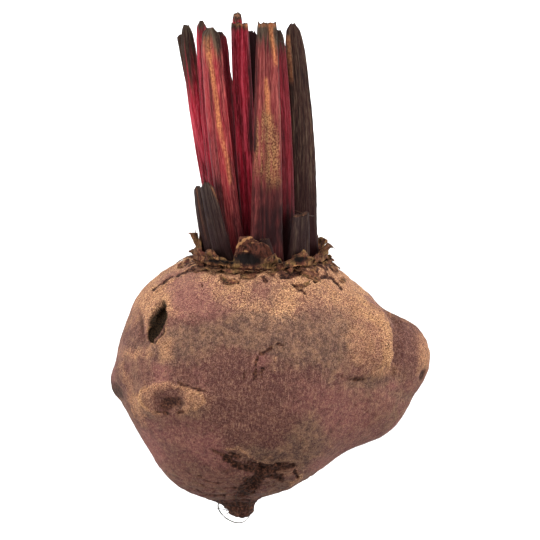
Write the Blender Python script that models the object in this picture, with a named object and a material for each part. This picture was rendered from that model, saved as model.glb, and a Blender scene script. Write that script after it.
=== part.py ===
"""A trimmed beetroot that lies on its side: a lumpy root, the torn leaf bases round its crown, and its cut stalks.

The root's axis runs along Y, from the broken tap root at -Y to the cut ends of the stalks at +Y. The belly rests on
the ground, Z = 0, on a small flat spot. Blender's unit is the metre. The dimensions below are in millimetres.
"""

import math
import random
from collections import namedtuple

import bmesh
import bpy
from mathutils import Matrix, Vector, noise

MM = 0.001
GAP = 0.3  # between pieces that touch

# The root, measured from its axis. The ground lies this far below the axis.
AXIS_HEIGHT = 35.2
CROWN_Y = 3.0
TAP_END_Y = -76.0
ROOT_SEGMENTS = 56
ROOT_RINGS = 37
LOBE_PULL = 0.25  # draws the segments closer together over the side lobe
SECTION_POWER = 2.15  # a little squarer than an ellipse
SKIN_LUMP = 0.7
SKIN_LUMP_SIZE = 17.0
SMOOTH_END = 12.0  # the lumps fade out over this length at the crown and at the tap root
BEYOND_SKIN = 70.0  # further from the axis than any of the skin
HALVINGS = 14  # of the last millimetre, to find the skin in it

Section = namedtuple("Section", "y left right front back")
ROOT_SECTIONS = [
    Section(3.0, -22.3, 17.3, 20.5, 20.5),
    Section(1.6, -24.7, 18.2, 23.0, 23.5),
    Section(-1.5, -30.6, 21.2, 26.0, 27.5),
    Section(-5.2, -36.0, 25.8, 29.0, 31.0),
    Section(-10.7, -40.6, 31.8, 32.0, 34.0),
    Section(-18.0, -43.8, 35.2, 34.8, 35.8),
    Section(-25.4, -46.0, 35.6, 36.3, 36.2),
    Section(-32.7, -46.5, 34.8, 36.6, 35.4),
    Section(-43.7, -42.7, 30.0, 34.3, 31.0),
    Section(-54.7, -36.3, 22.6, 28.5, 22.5),
    Section(-60.2, -33.2, 16.6, 24.5, 16.5),
    Section(-65.0, -28.6, 9.2, 19.5, 10.0),
    Section(-68.0, -23.4, 1.6, 15.0, 5.0),
    Section(-70.4, -17.5, -3.6, 11.5, 1.0),
    Section(-72.8, -14.0, -4.2, 10.0, 0.5),
    Section(-76.0, -11.5, -5.4, 9.0, 2.0),
]

# Swellings that stand out of the root, each an ellipsoid that flows into the skin over its blend width.
Swelling = namedtuple("Swelling", "x y z rx ry rz blend")
SWELLINGS = [
    Swelling(27.3, -34.2, 3.0, 16.6, 18.6, 18.0, 7.0),  # the broad foot of the side lobe
    Swelling(38.2, -27.6, 1.5, 10.6, 11.8, 11.5, 4.0),  # its outer end
    Swelling(28.0, -19.6, 14.5, 9.6, 11.0, 9.4, 5.0),  # the bump that faces up, beside the end
    Swelling(-44.4, -35.4, 1.0, 4.6, 5.4, 5.0, 2.5),  # the nub on the other side
    Swelling(-29.8, -33.8, 25.6, 8.6, 5.4, 5.0, 3.0),  # the swollen scar
]

# The wound and the pit of the scar are ellipsoids cut into the skin, placed by height and by angle round the axis.
Pit = namedtuple("Pit", "y angle across along deep twist")
PITS = [
    Pit(-12.4, 141.0, 2.7, 5.6, 4.6, 14.0),  # the open wound
    Pit(-33.6, 129.5, 4.2, 2.4, 1.6, -6.0),  # the pit of the scar
]
PIT_LUMP = 0.28
PIT_LUMPS_PER_RADIUS = 2.1

# The ring of leaf bases stands on the flat crown.
CROWN_X = -2.5
RING_RADIUS = 19.3
RING_HALF_WALL = 1.1
RING_HEIGHT = 1.9
RING_STEPS = 44
LEAF_BASE_WALL = 1.1
LEAF_BASE_SINK = (0.7, 1.3)  # into the ring
LEAF_BASE_NARROWING = 0.25
LEAF_BASE_ARCH = 0.3  # how much lower its sides are than its middle
TEAR = (-0.28, 0.2)  # how far the torn edge strays, as a share of the height
LEAF_BASE_PLACES = 19  # round the ring
PLACE_SHIFT = 0.25
HALF_WIDTHS, HEIGHTS, REACHES = (2.0, 3.4), (1.2, 3.4), (0.6, 3.6)
CLEAR_OF_LARGE = 14.0  # degrees
TEAR_SEED = 11

# Torn leaf bases that the photograph shows larger than the rest: angle, half width, height, outward reach.
LeafBase = namedtuple("LeafBase", "angle half_width height reach")
LARGE_LEAF_BASES = [
    LeafBase(98.0, 5.6, 7.6, -0.6),
    LeafBase(180.0, 2.6, 6.4, 2.6),
    LeafBase(14.0, 3.4, 3.4, 3.6),
    LeafBase(128.0, 4.6, 3.0, 3.0),
]

# A stalk's half width runs round the crown, and its half depth outwards. It faces the angle it is turned to.
STALK_SIDES = 16
STALK_STATIONS = [0.0, 0.05, 0.13, 0.27, 0.45, 0.63, 0.8, 0.91, 0.965, 1.0]
STUB_STATIONS = [0.0, 0.18, 0.45, 0.74, 0.92, 1.0]
RIB_HEIGHT = 0.055
GROOVE_DEPTH = 0.6
GROOVE_HALF_WIDTH = 0.42
INNER_SIDE = 0.8
FOOT_FLARE = 0.14
FOOT_LENGTH = 5.0
BOW = 0.018  # how far a stalk bends away from the crown's middle, as a share of its length
CUT_RAGGED, DRIED_RAGGED = 0.7, 0.2
DRAWN_IN_FROM = 0.92  # the share of its length where the tip of a dried stalk starts to draw in
DRAWN_IN = 0.45

Stalk = namedtuple("Stalk", "name base tip foot_half_width tip_half_width half_depth facing end colour")
CRIMSON, RUSSET, DRY, BROWN, SKIN = "crimson", "russet", "dry", "brown", "skin"
COLOURS = {CRIMSON: (140, 36, 48), RUSSET: (138, 66, 56), DRY: (62, 46, 42), BROWN: (84, 56, 36), SKIN: (132, 92, 76)}
STALKS = [  # base (x, z), tip (x, y, z)
    Stalk("stalk_front", (-0.9, 12.0), (-0.6, 74.0, 13.0), 5.0, 3.1, 2.4, 92, "cut", RUSSET),
    Stalk("stalk_front_left", (-9.7, 8.2), (-16.8, 72.8, 12.0), 3.8, 3.1, 2.4, 113, "round", RUSSET),
    Stalk("stalk_left", (-13.4, -3.1), (-24.2, 72.6, 0.3), 2.7, 2.5, 2.1, 130, "round", CRIMSON),
    Stalk("stalk_left_back", (-10.4, -8.5), (-26.0, 69.0, -4.5), 2.3, 1.6, 1.9, 224, "cut", DRY),
    Stalk("stalk_left_inner", (-12.8, 2.9), (-19.6, 74.4, 5.2), 2.0, 1.9, 1.8, 125, "round", CRIMSON),
    Stalk("stalk_inner_left", (-7.2, -1.5), (-14.3, 71.0, 3.4), 2.6, 2.4, 2.0, 114, "round", CRIMSON),
    Stalk("stalk_middle", (-4.2, 4.8), (-8.6, 73.6, 7.0), 3.2, 2.6, 2.1, 98, "cut", CRIMSON),
    Stalk("stalk_middle_back", (-5.0, -6.4), (-9.3, 75.0, -0.5), 2.4, 1.6, 1.9, 230, "cut", CRIMSON),
    Stalk("stalk_inner_right", (0.2, -0.8), (-5.2, 71.0, 1.3), 2.8, 2.2, 1.9, 86, "round", DRY),
    Stalk("stalk_right_inner", (5.3, 7.9), (2.7, 71.8, 7.0), 2.4, 1.7, 1.8, 75, "round", CRIMSON),
    Stalk("stalk_right", (9.85, 0.7), (6.8, 73.2, 2.5), 4.8, 2.9, 2.6, 72, "round", DRY),
    Stalk("stalk_back_right", (7.2, -7.3), (3.4, 62.0, -6.5), 2.9, 1.9, 2.0, 322, "round", RUSSET),
    Stalk("stalk_back", (1.4, -11.1), (-2.6, 59.0, -12.5), 2.8, 2.0, 2.0, 288, "cut", RUSSET),
    Stalk("stalk_back_left", (-5.0, -11.3), (-13.5, 61.0, -12.0), 2.5, 1.7, 1.9, 250, "round", CRIMSON),
]
STUBS = [
    Stalk("stub_left", (-17.2, 4.4), (-20.9, 26.0, 6.0), 3.0, 2.4, 1.3, 146, "round", DRY),
    Stalk("stub_front_left", (-12.6, 11.8), (-18.2, 28.0, 12.8), 3.6, 2.7, 1.4, 126, "round", DRY),
    Stalk("stub_front", (0.2, 15.75), (-1.4, 11.8, 16.4), 2.3, 1.9, 1.0, 82, "cut", DRY),
    Stalk("stub_right", (8.2, 11.7), (9.2, 18.5, 12.9), 4.0, 3.2, 1.4, 54, "cut", DRY),
    Stalk("stub_back_left", (-16.0, -7.2), (-18.6, 19.0, -9.5), 2.5, 1.9, 1.2, 208, "cut", DRY),
    Stalk("stub_back", (-4.2, -15.4), (-6.2, 12.0, -16.4), 3.3, 2.4, 1.1, 264, "round", DRY),
    Stalk("stub_back_right", (6.9, -12.0), (8.6, 24.0, -14.4), 3.1, 2.1, 1.3, 308, "round", DRY),
]


def linear(channel):
    """An sRGB channel from 0 to 255 as Blender's linear value."""
    share = channel / 255
    return share / 12.92 if share <= 0.04045 else ((share + 0.055) / 1.055) ** 2.4


def finish_of(name, colour, roughness):
    """A piece's own matt finish."""
    material = bpy.data.materials.new(name + "_finish")
    material.use_nodes = True
    shader = material.node_tree.nodes["Principled BSDF"]
    shader.inputs["Base Color"].default_value = (*(linear(c) for c in COLOURS[colour]), 1.0)
    shader.inputs["Roughness"].default_value = roughness
    shader.inputs["Metallic"].default_value = 0.0
    return material


def piece_from(bm, name, collection, colour, roughness=0.75):
    """Makes a named object of a mesh drawn in millimetres, with its faces outwards and smooth."""
    bmesh.ops.recalc_face_normals(bm, faces=bm.faces)
    if bm.calc_volume(signed=True) < 0:
        bmesh.ops.reverse_faces(bm, faces=bm.faces)
    bmesh.ops.scale(bm, vec=(MM, MM, MM), verts=bm.verts)
    mesh = bpy.data.meshes.new(name)
    bm.to_mesh(mesh)
    bm.free()
    mesh.shade_smooth()
    mesh.materials.append(finish_of(name, colour, roughness))
    piece = bpy.data.objects.new(name, mesh)
    collection.objects.link(piece)
    return piece


def baked(piece):
    """Replaces a piece's mesh with its evaluated one, so that its modifiers are applied."""
    graph = bpy.context.evaluated_depsgraph_get()
    mesh = bpy.data.meshes.new_from_object(piece.evaluated_get(graph))
    piece.modifiers.clear()
    piece.data = mesh


def section_at(y):
    """The root's outline at a height on its axis, on a smooth curve through the sections."""
    rows = ROOT_SECTIONS
    y = max(min(y, rows[0].y), rows[-1].y)
    i = next(k for k in range(len(rows) - 1) if rows[k + 1].y <= y)
    before, start, end, after = rows[max(i - 1, 0)], rows[i], rows[i + 1], rows[min(i + 2, len(rows) - 1)]
    step = end.y - start.y
    t = (y - start.y) / step

    def eased(field):
        a, b = getattr(start, field), getattr(end, field)
        slope_a = (b - getattr(before, field)) / (end.y - before.y) * step
        slope_b = (getattr(after, field) - a) / (after.y - start.y) * step
        return (
            (2 * t**3 - 3 * t**2 + 1) * a
            + (t**3 - 2 * t**2 + t) * slope_a
            + (3 * t**2 - 2 * t**3) * b
            + (t**3 - t**2) * slope_b
        )

    return Section(y, *(eased(field) for field in ("left", "right", "front", "back")))


def centre_of(section):
    """The middle of a section, as x and z."""
    return (section.left + section.right) / 2, (section.front - section.back) / 2


def blended(a, b, width):
    """The union of two solids' distances, with a fillet of that width."""
    h = max(width - abs(a - b), 0) / width
    return min(a, b) - h * h * width / 4


def outside_root(x, y, z, section):
    """How far a point lies outside the root, roughly, and negative inside it."""
    mid_x, mid_z = centre_of(section)
    half_x, half_z = (section.right - section.left) / 2, (section.front + section.back) / 2
    share = (abs((x - mid_x) / half_x) ** SECTION_POWER + abs((z - mid_z) / half_z) ** SECTION_POWER) ** (
        1 / SECTION_POWER
    )
    distance = (share - 1) * min(half_x, half_z)
    for s in SWELLINGS:
        share = math.hypot((x - s.x) / s.rx, (y - s.y) / s.ry, (z - s.z) / s.rz)
        distance = blended(distance, (share - 1) * min(s.rx, s.ry, s.rz), s.blend)
    lump = noise.noise(Vector((x, y, z)) / SKIN_LUMP_SIZE)
    fade = min(1, (CROWN_Y - y) / SMOOTH_END, (y - TAP_END_Y) / SMOOTH_END)
    return distance - SKIN_LUMP * lump * fade


def skin_point(y, angle):
    """Where a line out of the axis, at a height and an angle, leaves the root: the outermost crossing."""
    section = section_at(y)
    mid_x, mid_z = centre_of(section)
    across, up = math.cos(angle), math.sin(angle)

    def outside(reach):
        return outside_root(mid_x + reach * across, y, mid_z + reach * up, section) > 0

    far = BEYOND_SKIN
    while far > 1 and outside(far - 1):
        far -= 1
    near = far - 1
    for _ in range(HALVINGS):
        middle = (near + far) / 2
        if outside(middle):
            far = middle
        else:
            near = middle
    return Vector((mid_x + near * across, y, mid_z + near * up))


def skin_normal(y, angle):
    """The direction straight out of the skin."""
    step = 0.02
    along = skin_point(y + 1, angle) - skin_point(y - 1, angle)
    around = skin_point(y, angle + step) - skin_point(y, angle - step)
    return around.cross(along).normalized()


def root_mesh():
    """A ball whose rings are laid along the axis and pushed out to the skin, cut flat where it rests."""
    bm = bmesh.new()
    bmesh.ops.create_uvsphere(bm, u_segments=ROOT_SEGMENTS, v_segments=ROOT_RINGS, radius=1)
    middle, half = (CROWN_Y + TAP_END_Y) / 2, (CROWN_Y - TAP_END_Y) / 2
    for vert in bm.verts:
        y = middle + half * vert.co.z
        if abs(vert.co.z) > 0.9999:
            mid_x, mid_z = centre_of(section_at(y))
            vert.co = Vector((mid_x, y, mid_z))
        else:
            angle = math.atan2(vert.co.y, vert.co.x)
            vert.co = skin_point(y, angle - LOBE_PULL * math.sin(angle))
    geometry = bm.verts[:] + bm.edges[:] + bm.faces[:]
    ground = {"plane_co": (0, 0, -AXIS_HEIGHT), "plane_no": (0, 0, -1)}
    cut = bmesh.ops.bisect_plane(bm, geom=geometry, clear_outer=True, **ground)
    rim = [e for e in cut["geom_cut"] if isinstance(e, bmesh.types.BMEdge)]
    bmesh.ops.holes_fill(bm, edges=rim, sides=0)
    return bm


def cut_pit(root, pit, name, cutters):
    """Cuts one lumpy ellipsoid into the root's skin."""
    bm = bmesh.new()
    bmesh.ops.create_icosphere(bm, subdivisions=2, radius=1)
    for vert in bm.verts:
        vert.co *= 1 + PIT_LUMP * noise.noise(vert.co * PIT_LUMPS_PER_RADIUS + Vector((pit.y, 0, 0)))
    bmesh.ops.scale(bm, vec=(pit.across, pit.along, pit.deep), verts=bm.verts)
    cutter = piece_from(bm, name, cutters, SKIN)
    angle = math.radians(pit.angle)
    out = skin_normal(pit.y, angle)
    up = (Vector((0, 1, 0)) - out * out.y).normalized()
    facing = Matrix((up.cross(out), up, out)).transposed().to_4x4()
    place = Matrix.Translation(skin_point(pit.y, angle) * MM)
    cutter.matrix_world = place @ facing @ Matrix.Rotation(math.radians(pit.twist), 4, "Z")
    cutter.hide_render = True
    cutter.display_type = "WIRE"
    cut = root.modifiers.new(name, "BOOLEAN")
    cut.operation = "DIFFERENCE"
    cut.object = cutter


def ring_place(angle, radius, y):
    """A point round the crown."""
    return Vector((CROWN_X + radius * math.cos(angle), y, radius * math.sin(angle)))


def ring_mesh():
    """The low wall that the torn leaf bases grow out of, turned round the crown."""
    bm = bmesh.new()
    low = CROWN_Y + GAP
    profile = [
        (RING_RADIUS - RING_HALF_WALL, low),
        (RING_RADIUS + RING_HALF_WALL, low),
        (RING_RADIUS + 0.6 * RING_HALF_WALL, low + RING_HEIGHT),
        (RING_RADIUS - 0.6 * RING_HALF_WALL, low + RING_HEIGHT),
    ]
    corners = [bm.verts.new(ring_place(0, radius, y)) for radius, y in profile]
    edges = [bm.edges.new((a, b)) for a, b in zip(corners, corners[1:] + corners[:1])]
    bmesh.ops.spin(
        bm,
        geom=corners + edges,
        cent=(CROWN_X, 0, 0),
        axis=(0, 1, 0),
        angle=math.tau,
        steps=RING_STEPS,
        use_merge=True,
    )
    return bm


def leaf_base_mesh(base, rng):
    """One torn leaf base: an arched blade with a ragged top, sunk into the ring."""
    bm = bmesh.new()
    bmesh.ops.create_grid(bm, x_segments=5, y_segments=3, size=1)
    sink = rng.uniform(*LEAF_BASE_SINK)
    low = CROWN_Y + GAP + RING_HEIGHT - sink
    tears = {}
    for vert in bm.verts:
        across, rise = vert.co.x, (vert.co.y + 1) / 2
        tear = tears.setdefault(round(across, 3), rng.uniform(*TEAR))
        narrow = 1 - LEAF_BASE_NARROWING * rise
        angle = math.radians(base.angle) + across * narrow * base.half_width / RING_RADIUS
        height = (base.height + sink) * rise * (1 - LEAF_BASE_ARCH * across**2 + tear)
        out = base.reach * rise**1.6 + 0.5 * rise * math.cos(3 * across)
        vert.co = ring_place(angle, RING_RADIUS - LEAF_BASE_WALL / 2 + out, low + height)
    bmesh.ops.recalc_face_normals(bm, faces=bm.faces)
    bmesh.ops.solidify(bm, geom=bm.faces[:], thickness=LEAF_BASE_WALL)
    return bm


def leaf_bases(rng):
    """The large torn leaf bases, and smaller ones in the rest of the ring."""
    bases = list(LARGE_LEAF_BASES)
    for i in range(LEAF_BASE_PLACES):
        angle = 360 * (i + rng.uniform(-PLACE_SHIFT, PLACE_SHIFT)) / LEAF_BASE_PLACES
        size = [rng.uniform(*limits) for limits in (HALF_WIDTHS, HEIGHTS, REACHES)]
        nearest = min(abs((angle - b.angle + 180) % 360 - 180) for b in LARGE_LEAF_BASES)
        if nearest > CLEAR_OF_LARGE:
            bases.append(LeafBase(angle, *size))
    return bases


def joined(piece, operands):
    """Unites a piece with every object of a collection, then removes the collection and those objects."""
    union = piece.modifiers.new("union", "BOOLEAN")
    union.operation = "UNION"
    union.solver = "MANIFOLD"
    union.operand_type = "COLLECTION"
    union.collection = operands
    baked(piece)
    for operand in list(operands.objects):
        bpy.data.objects.remove(operand)
    bpy.data.collections.remove(operands)


def build_leaf_base_ring(collection):
    rng = random.Random(TEAR_SEED)
    ring = piece_from(ring_mesh(), "leaf_base_ring", collection, BROWN, 0.85)
    operands = new_collection("leaf bases")
    for i, base in enumerate(leaf_bases(rng)):
        piece_from(leaf_base_mesh(base, rng), f"leaf_base_{i:02d}", operands, BROWN)
    joined(ring, operands)
    return ring


def stalk_outline(angle):
    """A stalk's section, as shares across and out: ribbed and round on the outside, grooved on the inside."""
    across, out = math.cos(angle), math.sin(angle)
    rib = 1 + RIB_HEIGHT * math.cos(angle * STALK_SIDES / 2)
    if out >= 0:
        return across * rib, out**0.85 * rib
    return across, INNER_SIDE * out + GROOVE_DEPTH * math.exp(-((across / GROOVE_HALF_WIDTH) ** 2))


def foot_flare(height):
    """How much wider a stalk is at a height above the crown than it would be without its flared foot."""
    return 1 + FOOT_FLARE * math.exp(-((height / FOOT_LENGTH) ** 2))


def tip_rounding(stalk, share):
    """How much a stalk that dried up, not one that was cut, is drawn in at its tip."""
    drawn = max(0.0, (share - DRAWN_IN_FROM) / (1 - DRAWN_IN_FROM)) ** 2
    return 1 - DRAWN_IN * drawn if stalk.end == "round" else 1.0


def stalk_middle(stalk, share):
    """A stalk's middle at a share of its length, from its foot: a line that bows away from the crown's centre."""
    base_x, base_z = stalk.base
    tip_x, tip_y, tip_z = stalk.tip
    away = Vector((base_x - CROWN_X, 0, base_z)).normalized()
    run = Vector((tip_x - base_x, tip_y - CROWN_Y - GAP, tip_z - base_z))
    return run * share + away * BOW * run.y * math.sin(math.pi * share)


def stalk_mesh(stalk, stations):
    """A prism cut into rings, each laid level on the stalk's line and shaped to its section."""
    bm = bmesh.new()
    bmesh.ops.create_cone(bm, cap_ends=True, segments=STALK_SIDES, radius1=1, radius2=1, depth=1)
    for share in stations[1:-1]:
        level = {"plane_co": (0, 0, share - 0.5), "plane_no": (0, 0, 1)}
        bmesh.ops.bisect_plane(bm, geom=bm.verts[:] + bm.edges[:] + bm.faces[:], **level)
    facing = math.radians(stalk.facing)
    outward = Vector((math.cos(facing), 0, math.sin(facing)))
    sideways = Vector((math.sin(facing), 0, -math.cos(facing)))
    for vert in bm.verts:
        share = vert.co.z + 0.5
        angle = math.atan2(vert.co.y, vert.co.x)
        across, out = stalk_outline(angle)
        middle = stalk_middle(stalk, share)
        grown = foot_flare(middle.y) * tip_rounding(stalk, share)
        half_width = stalk.foot_half_width + (stalk.tip_half_width - stalk.foot_half_width) * share**1.4
        half_depth = stalk.half_depth * (0.45 + 0.55 * half_width / stalk.foot_half_width)
        if share > 0.999:
            ragged = CUT_RAGGED if stalk.end == "cut" else DRIED_RAGGED
            middle.y += ragged * noise.noise(Vector((2 * across, *stalk.base)))
        vert.co = middle + sideways * (across * grown * half_width) + outward * (out * grown * half_depth)
    return bm


def build_stalk(stalk, stations, collection):
    piece = piece_from(stalk_mesh(stalk, stations), stalk.name, collection, stalk.colour, 0.6)
    piece.location = Vector((stalk.base[0], CROWN_Y + GAP, stalk.base[1])) * MM
    return piece


def build_root(collection, cutters):
    root = piece_from(root_mesh(), "root", collection, SKIN, 0.85)
    for i, pit in enumerate(PITS):
        cut_pit(root, pit, f"pit_{i}", cutters)
    return root


def new_collection(name):
    collection = bpy.data.collections.new(name)
    bpy.context.scene.collection.children.link(collection)
    return collection


def stand_on_ground(pieces, cutters):
    """Parents all the objects to one empty that centres the pieces over the origin, the flat spot on the ground."""
    bpy.context.view_layer.update()
    graph = bpy.context.evaluated_depsgraph_get()
    corners = [p.matrix_world @ Vector(c) for p in pieces for c in p.evaluated_get(graph).bound_box]
    centre = [(min(c[i] for c in corners) + max(c[i] for c in corners)) / 2 for i in (0, 1)]
    frame = bpy.data.objects.new("beetroot", None)
    pieces[0].users_collection[0].objects.link(frame)
    frame.location = (-centre[0], -centre[1], AXIS_HEIGHT * MM)
    for obj in pieces + list(cutters.objects):
        obj.parent = frame


def main():
    for obj in list(bpy.data.objects):
        bpy.data.objects.remove(obj)
    beetroot = new_collection("beetroot")
    cutters = new_collection("cutters")
    pieces = [build_root(beetroot, cutters), build_leaf_base_ring(beetroot)]
    pieces += [build_stalk(stalk, STALK_STATIONS, beetroot) for stalk in STALKS]
    pieces += [build_stalk(stub, STUB_STATIONS, beetroot) for stub in STUBS]
    stand_on_ground(pieces, cutters)


main()
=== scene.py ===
"""The looks of a trimmed beetroot that lies on its side: dusty corky skin, torn leaf bases and cut stalks.

Shapes are drawn in millimetres and scaled to metres when they are finished. The root's axis runs along Y,
with the crown and the stalks towards +Y and the broken tap root towards -Y.
"""

import math
import random
from collections import namedtuple

import bmesh
import bpy
import numpy as np
from mathutils import Matrix, Vector, noise
from mathutils.bvhtree import BVHTree


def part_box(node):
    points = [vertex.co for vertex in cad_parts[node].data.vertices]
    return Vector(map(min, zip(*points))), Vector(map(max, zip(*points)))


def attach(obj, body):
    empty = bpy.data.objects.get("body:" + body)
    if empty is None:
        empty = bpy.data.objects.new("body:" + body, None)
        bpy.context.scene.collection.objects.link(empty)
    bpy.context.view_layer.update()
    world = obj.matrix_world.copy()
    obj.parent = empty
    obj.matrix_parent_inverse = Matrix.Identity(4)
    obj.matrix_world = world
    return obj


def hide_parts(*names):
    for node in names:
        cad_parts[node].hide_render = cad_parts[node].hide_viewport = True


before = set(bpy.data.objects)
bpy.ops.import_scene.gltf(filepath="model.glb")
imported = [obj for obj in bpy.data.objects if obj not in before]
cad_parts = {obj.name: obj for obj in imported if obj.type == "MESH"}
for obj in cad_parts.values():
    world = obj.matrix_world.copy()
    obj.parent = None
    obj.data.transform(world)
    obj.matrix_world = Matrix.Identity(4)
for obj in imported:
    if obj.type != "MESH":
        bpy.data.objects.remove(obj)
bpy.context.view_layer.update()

MM = 0.001
MERGE_DISTANCE = 0.002

# The frame's own places, in millimetres.
AXIS_HEIGHT = 35.2
CROWN_X = -2.4
CROWN_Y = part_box("root")[1][1] / MM
TAP_END_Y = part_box("root")[0][1] / MM

# The photograph is taken from above, leaning over the crown.
PHOTO_SIZE = 540
PIXEL = 0.3  # at the aim
AIM = Vector((0.4, -0.6, AXIS_HEIGHT))
LEAN = math.radians(11)
CAMERA_DISTANCE = 600.0
SENSOR = 36.0
PHOTO_RIGHT = Vector((1, 0, 0))
PHOTO_UP = Vector((0, math.cos(LEAN), -math.sin(LEAN)))
TO_CAMERA = Vector((0, math.sin(LEAN), math.cos(LEAN)))


# Places in the photograph


def line_of_sight(px, py):
    """The line from the camera through a pixel of the photograph: its start and its direction."""
    start = AIM + TO_CAMERA * CAMERA_DISTANCE
    middle = PHOTO_SIZE / 2
    seen = AIM + (PHOTO_RIGHT * (px - middle) + PHOTO_UP * (middle - py)) * PIXEL
    return start, (seen - start).normalized()


def pixels_of(points):
    """Where points appear in the photograph, as two arrays."""
    away = points - np.array(AIM)
    depth = CAMERA_DISTANCE - away @ np.array(TO_CAMERA)
    grown = CAMERA_DISTANCE / depth / PIXEL
    middle = PHOTO_SIZE / 2
    return middle + away @ np.array(PHOTO_RIGHT) * grown, middle - away @ np.array(PHOTO_UP) * grown


# Meshes


def node_copy(node):
    """A merged copy of a CAD node's mesh, in millimetres."""
    bm = bmesh.new()
    bm.from_mesh(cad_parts[node].data)
    bmesh.ops.scale(bm, vec=(1 / MM,) * 3, verts=bm.verts)
    bmesh.ops.remove_doubles(bm, verts=bm.verts, dist=MERGE_DISTANCE)
    return bm


def mesh_of(bm, name):
    mesh = bpy.data.meshes.new(name)
    bm.to_mesh(mesh)
    bm.free()
    return mesh


def add_object(name, data):
    """A new object in the scene."""
    made = bpy.data.objects.new(name, data)
    bpy.context.scene.collection.objects.link(made)
    return made


def add_piece(bm, name, material):
    """Finishes a mesh drawn in millimetres as a piece that rides on the beetroot."""
    bmesh.ops.scale(bm, vec=(MM,) * 3, verts=bm.verts)
    mesh = mesh_of(bm, name)
    mesh.shade_smooth()
    mesh.materials.append(material)
    piece = add_object(name, mesh)
    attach(piece, "root")
    return piece


def set_masks(piece, masks):
    """Stores an array of shares, one for each vertex, under each mask's name."""
    for name, values in masks.items():
        attribute = piece.data.attributes.new(name, "FLOAT", "POINT")
        attribute.data.foreach_set("value", np.asarray(values, dtype=np.float32))


def remeshed(bm, voxel):
    """The same solid as an even mesh of small quads."""
    solid = add_object("solid", mesh_of(bm, "solid"))
    remesh = solid.modifiers.new("even", "REMESH")
    remesh.mode = "VOXEL"
    remesh.voxel_size = voxel
    even = bpy.data.meshes.new_from_object(solid.evaluated_get(bpy.context.evaluated_depsgraph_get()))
    bpy.data.objects.remove(solid)
    bm = bmesh.new()
    bm.from_mesh(even)
    return bm


def lumps(points, size, seed=0.0):
    """Smooth noise from about -1 to 1 at each point, with lumps of that size."""
    shift = Vector((seed, 2 * seed, 3 * seed))
    return np.array([noise.noise(Vector(p) / size + shift) for p in points])


def eased(low, high, value):
    """0 below the low limit, 1 above the high one, and a smooth step between them."""
    share = np.clip((value - low) / (high - low), 0, 1)
    return share * share * (3 - 2 * share)


# Root skin

SKIN_VOXEL = 0.56
FINE_SMOOTHINGS = 8
BROAD_SMOOTHINGS = 45
# The mauve mask also carries painted shade on the lobe; the grey and dark ones, painted shade in its creases.
MASKS = ("corky", "grainy", "rosy", "grey", "mauve_and_shade", "dark", "pit")

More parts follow.
